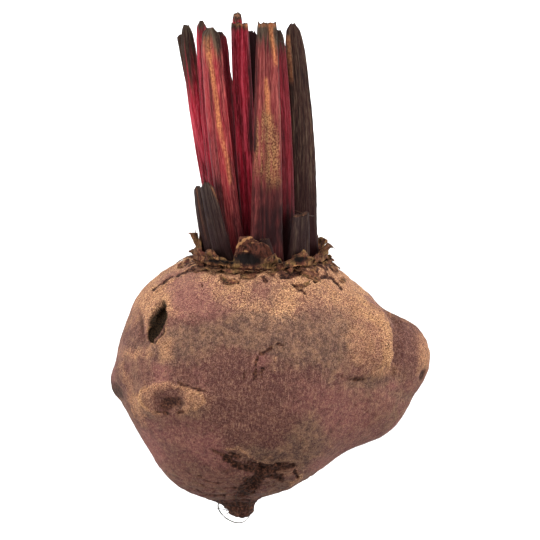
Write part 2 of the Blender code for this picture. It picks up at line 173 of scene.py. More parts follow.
# A spot is an oval on the skin: its pixel, its half sizes in millimetres, how far it leans, how soft its edge
# is, how strongly it tints the skin and how far it stands out of it.
Spot = namedtuple("Spot", "name mask px py across along lean soft tint raised")
PIT_DEPTH = -0.7
SPOTS = [
    Spot("grey_band_left", "grey", 178, 346, 9, 5.0, -10, 0.8, 1.0, 0.0),
    Spot("grey_band_middle", "grey", 243, 333, 13, 4.2, 0, 0.8, 0.9, 0.0),
    Spot("grey_band_gap", "grey", 273, 333, 8, 4.6, 0, 0.8, 1.0, 0.0),
    Spot("grey_band_right", "grey", 304, 341, 13, 7.0, 4, 0.8, 1.1, 0.0),
    Spot("olive_patch_low", "grey", 307, 436, 4.5, 7.0, 15, 0.8, 0.9, 0.0),
    Spot("olive_patch_left", "grey", 191, 408, 5.0, 3.4, 0, 0.8, 0.7, 0.0),
    Spot("rosy_shoulder", "rosy", 188, 291, 12, 7.0, 20, 0.8, 0.9, 0.0),
    Spot("rosy_brow", "rosy", 262, 292, 7, 4.0, 0, 0.8, 0.35, 0.0),
    Spot("mauve_shoulder", "mauve_and_shade", 204, 314, 14, 5.0, 0, 0.9, 0.5, 0.0),
    Spot("mauve_shoulder_right", "mauve_and_shade", 322, 318, 7, 5.0, 20, 0.9, 0.45, 0.0),
    Spot("ochre_below_wound", "corky", 169, 358, 2.6, 5.0, 0, 0.8, 0.5, 0.0),
    Spot("rosy_belly", "rosy", 338, 418, 15, 10.0, 30, 0.9, 0.6, 0.0),
    Spot("rosy_left", "rosy", 170, 440, 12, 10.0, -30, 0.9, 0.5, 0.0),
    Spot("mauve_belly", "mauve_and_shade", 248, 418, 22, 15.0, 0, 0.9, 1.0, 0.0),
    Spot("mauve_waist", "mauve_and_shade", 240, 374, 26, 10.0, 0, 0.9, 0.9, 0.0),
    # Lighter cork on the lobe's front bump: partly real, partly painted highlight on the bulge.
    Spot("lobe_front_bump", "corky", 367, 344, 6.6, 8.8, 0, 0.9, 0.6, 1.5),
    Spot("lobe_end_bump", "mauve_and_shade", 410, 350, 5.0, 9.0, 0, 0.7, 0.2, 1.0),
    # Painted shade: a mauve tint on the shaded left side of the lobe's end bump.
    Spot("lobe_shaded_side", "mauve_and_shade", 407, 344, 4.2, 8.8, 0, 0.7, 0.9, 0.0),
    Spot("lobe_cork_top", "corky", 410, 316, 6.0, 2.4, 30, 0.8, 0.7, 0.0),
    # Lighter cork along the lobe's right edge: partly real, partly painted rim light.
    Spot("lobe_cork_rim_light", "corky", 423, 352, 2.4, 8.0, 0, 0.8, 0.6, 0.0),
    Spot("lobe_cork_low", "corky", 388, 374, 5.0, 2.4, 0, 0.8, 0.4, 0.0),
    # The next four paint shade into sculpted creases under and beside the lobe's bumps.
    Spot("lobe_foot_crease", "grey", 368, 382, 9.0, 1.8, -6, 0.8, 0.8, -0.6),
    Spot("lobe_left_hollow", "grey", 336, 342, 2.6, 9.0, 8, 0.9, 0.8, -0.5),
    Spot("lobe_low_crease", "grey", 402, 396, 8.0, 1.6, 14, 0.8, 0.6, -0.4),
    Spot("lobe_dent", "dark", 358, 379, 2.0, 0.9, 0, 0.9, 0.5, -0.3),
    Spot("lobe_edge_pit", "dark", 421, 375, 0.8, 1.8, 20, 0.5, 0.8, -0.3),
    Spot("wound_left_hollow", "corky", 136, 322, 4.0, 8.5, -14, 0.6, 0.4, -0.3),
    Spot("wound_left_mark", "dark", 141, 326, 0.7, 4.0, -6, 0.8, 0.6, -0.4),
    Spot("wound_brow", "corky", 151, 299, 7.0, 3.6, 30, 0.6, 0.9, 0.3),
    Spot("wound_foot", "corky", 163, 346, 3.0, 3.5, 0, 0.8, 0.4, 0.1),
    Spot("left_cork", "corky", 134, 353, 4.0, 2.2, 0, 0.8, 0.6, 0.2),
    Spot("left_bruise", "mauve_and_shade", 136, 338, 3.5, 3.6, 0, 0.5, 1.0, 0.0),
    Spot("wound", "pit", 157.5, 324, 2.5, 5.4, 12, 0.25, 1.5, -1.6),
    Spot("wound_tip", "pit", 163, 311, 1.0, 2.6, 10, 0.4, 1.3, -0.9),
    Spot("wound_bay", "pit", 150, 322, 0.8, 1.3, 0, 0.4, 1.3, -0.9),
    Spot("wound_bay_low", "pit", 156, 340, 0.9, 0.9, 0, 0.4, 1.3, -0.8),
    Spot("scar_ring", "corky", 166, 399, 9.0, 5.0, -4, 0.5, 0.5, 0.6),
    Spot("scar_wing", "corky", 194, 401, 6.0, 3.2, -4, 0.7, 0.35, 0.2),
    Spot("scar_bed", "mauve_and_shade", 168, 401, 5.4, 3.3, -12, 0.4, 1.0, -0.5),
    Spot("scar_pit", "dark", 170, 404, 3.6, 1.9, -16, 0.6, 0.8, -0.4),
    Spot("nub", "mauve_and_shade", 114, 378, 4.0, 5.0, 0, 0.4, 1.0, 0.3),
    Spot("nub_shadow", "dark", 117, 392, 1.8, 3.0, -25, 0.7, 0.8, -0.4),
    Spot("tap_scar_right", "corky", 282, 468, 5.0, 2.4, 0, 0.8, 0.5, 0.0),
    Spot("tap_brow", "grey", 264, 456, 9.0, 2.8, 6, 0.8, 0.8, 0.0),
]

TAP_SCAR = Spot("rough_tap_scar", "dark", 256, 471, 14.0, 6.0, 10, 0.6, 1.0, 0.0)

# A stroke is a crack or a ridge along a few pixels: its half width, tint and height in millimetres.
Stroke = namedtuple("Stroke", "name mask width tint raised pixels")
STROKES = [
    Stroke("waist_crack_top", "dark", 0.42, 1.1, -0.35, [(283, 346), (279, 343), (275, 346)]),
    Stroke("waist_crack_bend", "dark", 0.45, 1.1, -0.40, [(272, 348), (267, 350), (263, 354), (260, 354)]),
    Stroke("waist_crack_down", "dark", 0.45, 1.1, -0.40, [(258, 357), (256, 363), (257, 368), (255, 374)]),
    Stroke("waist_crack_side", "dark", 0.40, 1.0, -0.35, [(263, 369), (261, 373), (262, 378)]),
    Stroke("waist_crack_end", "dark", 0.36, 1.0, -0.30, [(256, 376), (253, 381)]),
    Stroke("waist_crack_left", "dark", 0.38, 1.0, -0.30, [(247, 369), (244, 373), (244, 379)]),
    Stroke(
        "scar_ring_top", "corky", 0.60, 0.5, 0.15,
        [(140, 400), (143, 390), (154, 385), (170, 384), (188, 389)],
    ),
    Stroke("scar_ring_right", "corky", 0.60, 0.4, 0.15, [(188, 389), (202, 396), (205, 402), (196, 408)]),
    Stroke("scar_ring_foot", "corky", 0.55, 0.4, 0.15, [(142, 404), (150, 410), (160, 413)]),
    Stroke("waist_scratch", "corky", 0.25, 0.8, 0.10, [(277, 351), (276, 360)]),
    Stroke("waist_scratch_low", "corky", 0.20, 0.7, 0.10, [(274, 365), (275, 373)]),
    # Painted shade in the crease under the lobe's front bump.
    Stroke("lobe_foot_line", "dark", 0.25, 0.5, -0.30, [(338, 376), (352, 380), (368, 380)]),
    Stroke("belly_line", "dark", 0.20, 0.5, -0.20, [(354, 404), (366, 412), (378, 418)]),
    Stroke("scar_crack", "dark", 0.36, 0.8, -0.25, [(178, 383), (190, 387), (205, 391)]),
    Stroke("scar_wrinkle", "dark", 0.40, 0.9, -0.30, [(158, 411), (170, 415), (184, 411)]),
    Stroke("tap_crack_start", "dark", 0.60, 0.6, -0.30, [(209, 449), (217, 452), (224, 457)]),
    Stroke("tap_crack_blot", "dark", 0.80, 0.9, -0.40, [(230, 457), (238, 457)]),
    Stroke(
        "tap_crack", "dark", 1.00, 1.1, -0.60,
        [(225, 458), (232, 463), (240, 467), (251, 469), (266, 470)],
    ),
    Stroke(
        "tap_crack_top", "dark", 0.35, 1.0, -0.40,
        [(248, 463), (254, 463), (271, 466), (286, 463), (293, 466)],
    ),
    Stroke("tap_crack_right", "dark", 0.90, 0.9, -0.45, [(268, 470), (280, 468), (291, 466)]),
    Stroke("tap_crack_end", "dark", 0.40, 1.0, -0.45, [(294, 470), (297, 477)]),
    Stroke("tap_crack_low", "dark", 0.45, 0.8, -0.30, [(263, 477), (272, 477), (283, 481)]),
    Stroke("tap_crack_branch", "dark", 0.90, 0.8, -0.40, [(262, 472), (272, 474), (281, 478)]),
    Stroke("tap_crack_down", "dark", 1.70, 1.0, -0.60, [(261, 470), (258, 479), (250, 486)]),
    Stroke("tap_crack_foot", "dark", 2.20, 0.9, -0.50, [(250, 486), (242, 492)]),
    Stroke("tap_wrinkle_high", "dark", 0.20, 0.6, -0.30, [(198, 476), (206, 481), (216, 484), (228, 483)]),
    Stroke("tap_wrinkle_mid", "dark", 0.20, 0.5, -0.30, [(196, 482), (206, 488), (220, 490), (234, 487)]),
    Stroke("tap_wrinkle_low", "dark", 0.20, 0.6, -0.30, [(196, 490), (208, 495), (220, 496), (230, 495)]),
    Stroke("crown_crack", "dark", 0.70, 1.1, -0.60, [(282, 276), (291, 275), (301, 272)]),
    Stroke("crown_curl", "dark", 0.50, 1.1, -0.50, [(314, 282), (322, 277), (333, 278), (342, 288)]),
    Stroke("crown_nick_1", "dark", 0.45, 1.0, -0.40, [(293, 284), (299, 290)]),
    Stroke("crown_nick_2", "dark", 0.40, 1.0, -0.35, [(302, 289), (305, 294)]),
    Stroke("crown_nick_3", "dark", 0.42, 1.0, -0.35, [(263, 277), (266, 282)]),
    Stroke("left_shoulder_crack", "dark", 0.35, 1.0, -0.40, [(154, 291), (160, 285), (165, 283), (172, 277)]),
    Stroke("left_shoulder_edge", "corky", 0.50, 0.9, 0.30, [(152, 294), (160, 288), (166, 286), (173, 280)]),
    Stroke("left_crown_crack", "dark", 0.40, 1.0, -0.40, [(177, 276), (186, 272), (195, 269)]),
    Stroke("left_crease", "corky", 1.20, 0.4, 0.25, [(122, 366), (129, 384), (134, 402), (144, 424)]),
    Stroke("wound_rim", "corky", 0.45, 1.0, 0.45, [(166, 304), (167, 318), (165, 332), (158, 343)]),
    Stroke("wound_rim_left", "corky", 0.45, 0.9, 0.25, [(158, 304), (150, 316), (148, 332), (152, 343)]),
    Stroke("tap_ridge", "corky", 0.50, 0.45, 0.30, [(226, 450), (238, 449), (250, 456), (258, 462)]),
    Stroke("tap_ridge_right", "corky", 0.50, 0.8, 0.25, [(294, 470), (301, 477), (290, 484)]),
    # Painted shade: a mauve tint in the sculpted valley between the lobe's bumps.
    Stroke("lobe_valley", "mauve_and_shade", 1.40, 0.5, -1.2, [(390, 312), (395, 330), (395, 350), (393, 372)]),
    # Lighter ochre along the lobe's upper ridge: partly cork, partly painted highlight.
    Stroke(
        "lobe_ridge_highlight", "corky", 1.80, 0.9, 0.4,
        [(352, 300), (368, 312), (382, 326), (387, 345), (386, 362)],
    ),
]

# How far below the crown each of these begins to thin out, and where it ends.
CRUST_TOP, CRUST_END = 3.0, 21.0  # the corky crust
FLAKING_TOP, FLAKING_END = 2.0, 15.0  # loose plates on it
TORN_TOP, TORN_END = 3.0, 17.0  # cracks round the crown
BAND_TOP, BAND_END = 4.0, 7.0  # the dark band next to the leaf bases
BAND_INNER, BAND_OUTER = 21.0, 24.5  # how far from the axis that band is full, and where it ends

# The tap root is wrinkled up to where its wrinkles fade into the root, and its stump below the neck is torn.
WRINKLED_Y, WRINKLES_END_Y = TAP_END_Y + 7, TAP_END_Y + 24
TAP_NECK_Y = TAP_END_Y + 8.0
WRINKLE_LENGTH = 1.7


def spot_share(spot, px, py, ragged):
    """How much of a spot each point has, from its place in the photograph."""
    lean = math.radians(spot.lean)
    dx, dy = (px - spot.px) * PIXEL, (spot.py - py) * PIXEL
    across = dx * math.cos(lean) - dy * math.sin(lean)
    along = dx * math.sin(lean) + dy * math.cos(lean)
    reach = np.hypot(across / spot.across, along / spot.along) + 0.28 * ragged
    return 1 - eased(1 - spot.soft, 1 + spot.soft, reach)


def stroke_share(stroke, px, py, ragged, sharp=0.5):
    """How much of a stroke each point has: 1 on its line, and none beyond its width."""
    points = np.stack([px, py], axis=1)
    nearest = np.full(len(px), np.inf)
    for start, end in zip(stroke.pixels, stroke.pixels[1:]):
        start, run = np.array(start), np.subtract(end, start)
        share = np.clip((points - start) @ run / (run @ run), 0, 1)
        nearest = np.minimum(nearest, np.linalg.norm(points - start - share[:, None] * run, axis=1))
    distance = nearest * PIXEL + (0.15 + 0.65 * stroke.width) * ragged
    return 1 - eased(sharp * stroke.width, 1.4 * stroke.width, distance)


def thin_lines(field, width):
    """1 along the lines where noise changes sign, which run like cracks, and 0 away from them."""
    return np.exp(-((field / width) ** 2))


def sculpt_skin(points, normals):
    """How far each point of the root is raised, and its masks."""
    px, py = pixels_of(points)
    facing = eased(0.0, 0.25, normals @ np.array(TO_CAMERA))
    ragged, fine = lumps(points, 1.6, 1), lumps(points, 0.8, 2)
    broad, middling = lumps(points, 9.0, 3), lumps(points, 4.0, 4)
    below_crown = CROWN_Y - points[:, 1]
    masks = {name: np.zeros(len(points)) for name in MASKS}
    raised = 0.35 * broad + 0.2 * middling + 0.06 * ragged + 0.035 * fine

    # The crown's crust, with loose plates and cracks in it
    crust = 1 - eased(CRUST_TOP, CRUST_END, below_crown + 9 * broad + 4 * middling)
    masks["corky"] += 0.8 * crust
    masks["grainy"] += 0.9 * crust
    plates = lumps(points, 3.4, 5)
    flaking = (1 - eased(FLAKING_TOP, FLAKING_END, below_crown + 6 * middling)) * eased(0.05, 0.2, plates)
    raised += 0.28 * flaking
    masks["corky"] += 0.4 * flaking
    torn = thin_lines(lumps(points * [1, 2.2, 1], 5.0, 6), 0.035) * eased(0.15, 0.3, lumps(points, 7.0, 7))
    gaps = eased(0.0, 0.3, lumps(points, 2.6, 15))
    torn *= gaps * (1 - eased(TORN_TOP, TORN_END, below_crown))
    raised -= 0.5 * torn
    masks["dark"] += torn

    # The dark band next to the leaf bases
    from_axis = np.hypot(points[:, 0] - CROWN_X, points[:, 2] - AXIS_HEIGHT)
    band = 1 - eased(BAND_INNER, BAND_OUTER, from_axis + 1.6 * middling)
    band *= 1 - eased(BAND_TOP, BAND_END, below_crown)
    masks["dark"] += band * eased(-0.25, 0.25, ragged + 0.5 * fine)
    raised += band * (0.45 * ragged + 0.2 * fine)

    # The wrinkled tap root and its torn stump
    near_tap = 1 - eased(WRINKLED_Y, WRINKLES_END_Y, points[:, 1] + 3 * broad)
    raised += 0.13 * near_tap * np.sin(points[:, 1] * math.tau / WRINKLE_LENGTH + 5 * broad)
    split = thin_lines(lumps(points * [1, 0.5, 1], 4.0, 8), 0.06) * near_tap * gaps
    raised -= 0.5 * split
    masks["dark"] += 0.9 * split
    stump = 1 - eased(TAP_NECK_Y - 2.5, TAP_NECK_Y + 1.5, points[:, 1] + ragged)
    fibres = lumps(points * [1, 0.16, 1], 0.9, 10)
    raised += stump * (0.4 * fibres + 0.25 * ragged)
    masks["dark"] += 0.95 * stump * (0.8 + 0.5 * fibres)

    rough_tap = spot_share(TAP_SCAR, px, py, ragged) * facing
    raised += rough_tap * (0.22 * ragged + 0.16 * fine)
    masks["dark"] += 0.7 * rough_tap * eased(0.08, 0.4, ragged + 0.6 * fine)

    # The marks that this root has, and broad tints all over
    unbroken = eased(-0.7, -0.3, lumps(points, 1.2, 14))
    for spot in SPOTS:
        share = spot_share(spot, px, py, ragged + middling) * facing
        raised += spot.raised * share
        masks[spot.mask] += spot.tint * share
        if spot.mask != "corky":
            masks["corky"] *= 1 - 0.85 * share
            masks["grainy"] *= 1 - 0.6 * share
    for stroke in STROKES:
        share = stroke_share(stroke, px, py, ragged + 0.6 * fine) * facing * unbroken
        raised += stroke.raised * share
        masks[stroke.mask] += stroke.tint * share
    masks["grainy"] += masks["corky"]
    masks["grey"] += 0.35 * eased(0.1, 0.6, lumps(points, 14.0, 11))
    masks["rosy"] += 0.6 * eased(0.15, 0.6, lumps(points, 12.0, 12))
    masks["mauve_and_shade"] += 0.35 * eased(0.1, 0.6, lumps(points, 16.0, 13)) * eased(25, 40, below_crown)
    return raised, {name: np.clip(mask, 0, 1) for name, mask in masks.items()}


def smooth(bm, verts, times):
    for _ in range(times):
        bmesh.ops.smooth_vert(bm, verts=verts, factor=0.5, use_axis_x=True, use_axis_y=True, use_axis_z=True)


def broad_verts(bm):
    """The vertices away from the pits, the tap root and the flat spot, where only broad forms are left."""
    points = np.array([v.co[:] for v in bm.verts])
    px, py = pixels_of(points)
    fine = (points[:, 1] < TAP_END_Y + 9) | (points[:, 2] < 0.4)
    for spot in SPOTS:
        if spot.raised <= PIT_DEPTH:
            fine |= (spot_share(spot, px, py, np.zeros(len(px))) > 0) & (points[:, 2] > AXIS_HEIGHT)
    return [vert for vert, kept in zip(bm.verts, fine) if not kept]


def build_root_skin():
    """The root: the CAD solid with its facets smoothed away and its skin sculpted."""
    bm = remeshed(node_copy("root"), SKIN_VOXEL)
    smooth(bm, bm.verts, FINE_SMOOTHINGS)
    smooth(bm, broad_verts(bm), BROAD_SMOOTHINGS)
    bm.normal_update()
    points = np.array([v.co[:] for v in bm.verts])
    normals = np.array([v.normal[:] for v in bm.verts])
    raised, masks = sculpt_skin(points, normals)
    floor = points[:, 2] < 0.8
    raised[floor] = np.minimum(raised[floor], 0)
    for vert, normal, height in zip(bm.verts, normals, raised):
        vert.co += Vector(normal) * height
        vert.co.z = max(vert.co.z, 0.0)
    tree = BVHTree.FromBMesh(bm)
    piece = add_piece(bm, "root_skin", skin_material())
    set_masks(piece, masks)
    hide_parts("root")
    return tree


# Thin tubes, for stalks and fibres


def tube(bm, sides, rings):
    """Adds a closed tube and returns its vertices in rings, from the foot up."""
    before = len(bm.verts)
    bmesh.ops.create_cone(bm, cap_ends=True, segments=sides, radius1=1, radius2=1, depth=1)
    bm.verts.ensure_lookup_table()
    made = bm.verts[before:]
    # Each wall edge once, in the mesh's own order
    walls = dict.fromkeys(
        edge
        for vert in made
        for edge in vert.link_edges
        if abs(edge.verts[0].co.z - edge.verts[1].co.z) > 0.9
    )
    bmesh.ops.subdivide_edges(bm, edges=list(walls), cuts=rings - 2, use_grid_fill=True)
    bm.verts.ensure_lookup_table()
    rows = [[None] * sides for _ in range(rings)]
    for vert in bm.verts[before:]:
        ring = round((vert.co.z + 0.5) * (rings - 1))
        side = round(math.atan2(vert.co.y, vert.co.x) / math.tau * sides) % sides
        rows[ring][side] = vert
    return rows


def face_outward(bm):
    bmesh.ops.recalc_face_normals(bm, faces=bm.faces)
    if bm.calc_volume(signed=True) < 0:
        bmesh.ops.reverse_faces(bm, faces=bm.faces)


# Leaf stalks

STALK_SIDES = 56
RING_STEP = 0.7
FACET_SMOOTHINGS = 5
END_RINGS = 8
END_DEEPEST = 0.9  # how far in, as a share of the radius, the hollow of an end reaches
GRAIN_RADIUS = 3.0
GRAIN_STEP = 9  # how far apart two stalks take their grain from the textures
STALK_MASKS = ("dried", "tan", "corky", "pale", "dark", "inside")

# How a stalk looks: how far down from its tip it has dried, how ragged that tip is, how deep its end is
# hollow, how far the end is drawn together, how steeply it is cut towards the camera, how strong its wrinkles
# are, the dryness that it has all over, and how much darker it is made all over: painted shade where it
# stands in the shade of the others, and a darker tone on some.
Stalk = namedtuple("Stalk", "node slot dried ragged hollow drawn slant wrinkled dryness darkness")
STALKS = [
    Stalk("stalk_left", "crimson_stalk", 18.0, 0.9, 3.0, 0.55, 0.1, 0.9, 0.0, 0.0),
    Stalk("stalk_left_back", "dry_stalk", 15.0, 1.0, 2.5, 0.1, 0.0, 1.0, 1.0, 0.2),
    Stalk("stalk_left_inner", "crimson_stalk", 3.0, 0.3, 0.7, 0.85, 0.0, 0.3, 0.0, 0.1),
    Stalk("stalk_front_left", "russet_stalk", 7.0, 0.6, 1.0, 0.8, 0.1, 0.5, 0.0, 0.0),
    Stalk("stalk_inner_left", "crimson_stalk", 1.5, 0.4, 0.8, 0.85, 0.0, 0.3, 0.0, 0.6),
    Stalk("stalk_middle", "crimson_stalk", 1.5, 0.8, 2.2, 0.1, 0.1, 0.3, 0.0, 0.05),
    Stalk("stalk_middle_back", "crimson_stalk", 1.0, 0.3, 0.8, 0.15, 0.8, 0.4, 0.0, 0.0),
    Stalk("stalk_inner_right", "dry_stalk", 12.0, 1.2, 2.5, 0.3, 0.0, 0.9, 0.4, 1.0),
    Stalk("stalk_front", "russet_stalk", 7.0, 1.2, 2.6, 0.1, 0.0, 0.6, 0.3, 0.12),
    Stalk("stalk_right_inner", "crimson_stalk", 7.0, 0.8, 1.4, 0.6, 0.0, 0.5, 0.1, 0.45),
    Stalk("stalk_right", "dry_stalk", 14.0, 0.6, 1.0, 0.75, 0.0, 1.0, 1.0, 0.22),
    Stalk("stalk_back_right", "russet_stalk", 10.0, 0.8, 1.6, 0.5, 0.0, 0.7, 0.2, 0.0),
    Stalk("stalk_back", "russet_stalk", 6.0, 1.0, 2.2, 0.1, 0.0, 0.6, 0.2, 0.0),
    Stalk("stalk_back_left", "crimson_stalk", 8.0, 0.8, 1.4, 0.6, 0.0, 0.5, 0.0, 0.0),
    Stalk("stub_left", "dark_stub", 6.0, 0.5, 0.8, 0.8, 0.0, 0.7, 1.0, 0.0),
    Stalk("stub_front_left", "dark_stub", 6.0, 0.5, 0.8, 0.8, 0.0, 0.7, 1.0, 0.0),
    Stalk("stub_front", "dark_stub", 3.0, 0.6, 1.2, 0.2, 0.2, 0.8, 1.0, 0.0),
    Stalk("stub_right", "dark_stub", 4.0, 0.4, 2.4, 0.0, 0.3, 0.5, 1.0, 0.0),
    Stalk("stub_back_left", "dark_stub", 5.0, 0.8, 2.0, 0.1, 0.0, 0.7, 1.0, 0.0),
    Stalk("stub_back", "dark_stub", 5.0, 0.8, 1.5, 0.6, 0.0, 0.7, 1.0, 0.0),
    Stalk("stub_back_right", "dark_stub", 5.0, 0.6, 1.0, 0.7, 0.0, 0.7, 1.0, 0.0),
]

# The colours of each kind of stalk: its flesh from deep to full, a pale painted sheen for highlights on
# its ribs and lit edges, and the husk that it dries to.
StalkColours = namedtuple("StalkColours", "deep flesh sheen dark_husk pale_husk")
STALK_COLOURS = {
    "crimson_stalk": StalkColours((52, 1, 6), (130, 13, 31), (180, 66, 78), (30, 17, 12), (54, 43, 33)),
    "russet_stalk": StalkColours((56, 9, 13), (116, 30, 35), (158, 76, 70), (36, 23, 17), (66, 55, 44)),
    "dry_stalk": StalkColours((30, 5, 7), (58, 20, 18), (92, 58, 50), (32, 15, 12), (50, 31, 25)),
    "dark_stub": StalkColours((26, 15, 15), (48, 32, 30), (80, 62, 56), (30, 20, 20), (46, 36, 34)),
}

# A streak on a stalk, along a few pixels: its half width in millimetres, how strong it is and how ragged.
# The pale streaks are painted highlights along lit edges and ridges.
Streak = namedtuple("Streak", "node mask width tint ragged pixels")
STREAKS = [
    Streak(
        "stalk_front_left", "tan", 0.8, 0.9, 0.25,
        [(208, 54), (211, 68), (214, 86), (217, 105), (219, 125)],
    ),
    Streak("stalk_front_left", "tan", 0.8, 0.7, 0.3, [(219, 125), (223, 144), (227, 158), (230, 182)]),
    Streak("stalk_front_left", "tan", 1.8, 0.5, 0.5, [(207, 42), (210, 54)]),
    Streak(
        "stalk_front_left", "pale", 0.28, 0.9, 0.1,
        [(217, 41), (222, 55), (226, 75), (230, 96), (234, 125)],
    ),
    Streak("stalk_left", "dark", 2.2, 0.5, 1.0, [(184, 36), (190, 60), (194, 78)]),
    Streak("stalk_left", "pale", 0.5, 0.6, 0.1, [(183, 80), (188, 100), (195, 129), (203, 160)]),
    Streak("stalk_middle", "pale", 0.35, 0.9, 0.1, [(242, 40), (242, 78), (244, 105), (245, 150)]),
    Streak("stalk_middle", "tan", 1.0, 0.7, 0.6, [(236, 22), (243, 24), (248, 25)]),
    # Painted shade beside the dark gap between the middle and the front stalk.
    Streak("stalk_middle", "dark", 1.0, 0.8, 0.2, [(250, 34), (251, 80), (251, 150)]),
    Streak("stalk_front", "dark", 4.0, 0.4, 1.2, [(268, 192), (270, 235)]),
    # Painted shade beside the dark gap between the middle and the front stalk.
    Streak("stalk_front", "dark", 0.8, 0.9, 0.2, [(255, 34), (255, 80), (254, 150)]),
    Streak("stalk_front", "tan", 0.8, 1.0, 0.15, [(270, 25), (272, 39), (275, 55), (276, 64)]),
    Streak("stalk_front", "tan", 0.8, 1.0, 0.3, [(266, 80), (268, 94), (268, 109), (270, 125)]),
    Streak("stalk_front", "tan", 0.5, 0.7, 0.3, [(260, 25), (268, 24), (277, 25)]),
    Streak("stalk_front", "corky", 3.4, 0.8, 0.9, [(269, 122), (270, 140), (271, 158), (272, 176)]),
    Streak("stalk_front", "pale", 0.4, 0.8, 0.1, [(278, 100), (280, 125), (283, 172)]),
    Streak("stalk_right", "tan", 0.8, 0.45, 0.3, [(288, 38), (290, 60), (291, 80)]),
    Streak("stub_right", "tan", 0.8, 0.8, 0.2, [(290, 222), (285, 236), (282, 248)]),
    Streak("stub_front_left", "tan", 0.3, 0.5, 0.1, [(211, 186), (222, 208), (231, 232), (232, 250)]),
    Streak("stub_left", "tan", 0.3, 0.3, 0.1, [(196, 186), (200, 210), (206, 240)]),
]


def middle_line(points):
    """A smooth line through the middle of a stalk's points: its x and its z, as curves of y."""
    return [np.poly1d(np.polyfit(points[:, 1], points[:, axis], 2)) for axis in (0, 2)]


def radii_around(tree, middles, angles):
    """The distance from each middle to a solid's surface, at each angle round the Y axis."""
    radii = np.zeros((len(middles), len(angles)))
    for ring, middle in enumerate(middles):
        for side, angle in enumerate(angles):
            distance = tree.ray_cast(Vector(middle), Vector((math.cos(angle), 0, math.sin(angle))))[3]
            radii[ring, side] = radii[ring - 1, side] if distance is None else distance
    for _ in range(FACET_SMOOTHINGS):
        radii = (np.roll(radii, 1, axis=1) + 2 * radii + np.roll(radii, -1, axis=1)) / 4
    return radii


def around(angle, height, turns, stretch, seed):
    """Noise on a stalk's surface that runs on smoothly all round, drawn out along its length."""
    spots = np.stack([turns * np.cos(angle), turns * np.sin(angle), height / stretch], axis=-1)
    return lumps(spots.reshape(-1, 3), 1.0, seed).reshape(angle.shape)


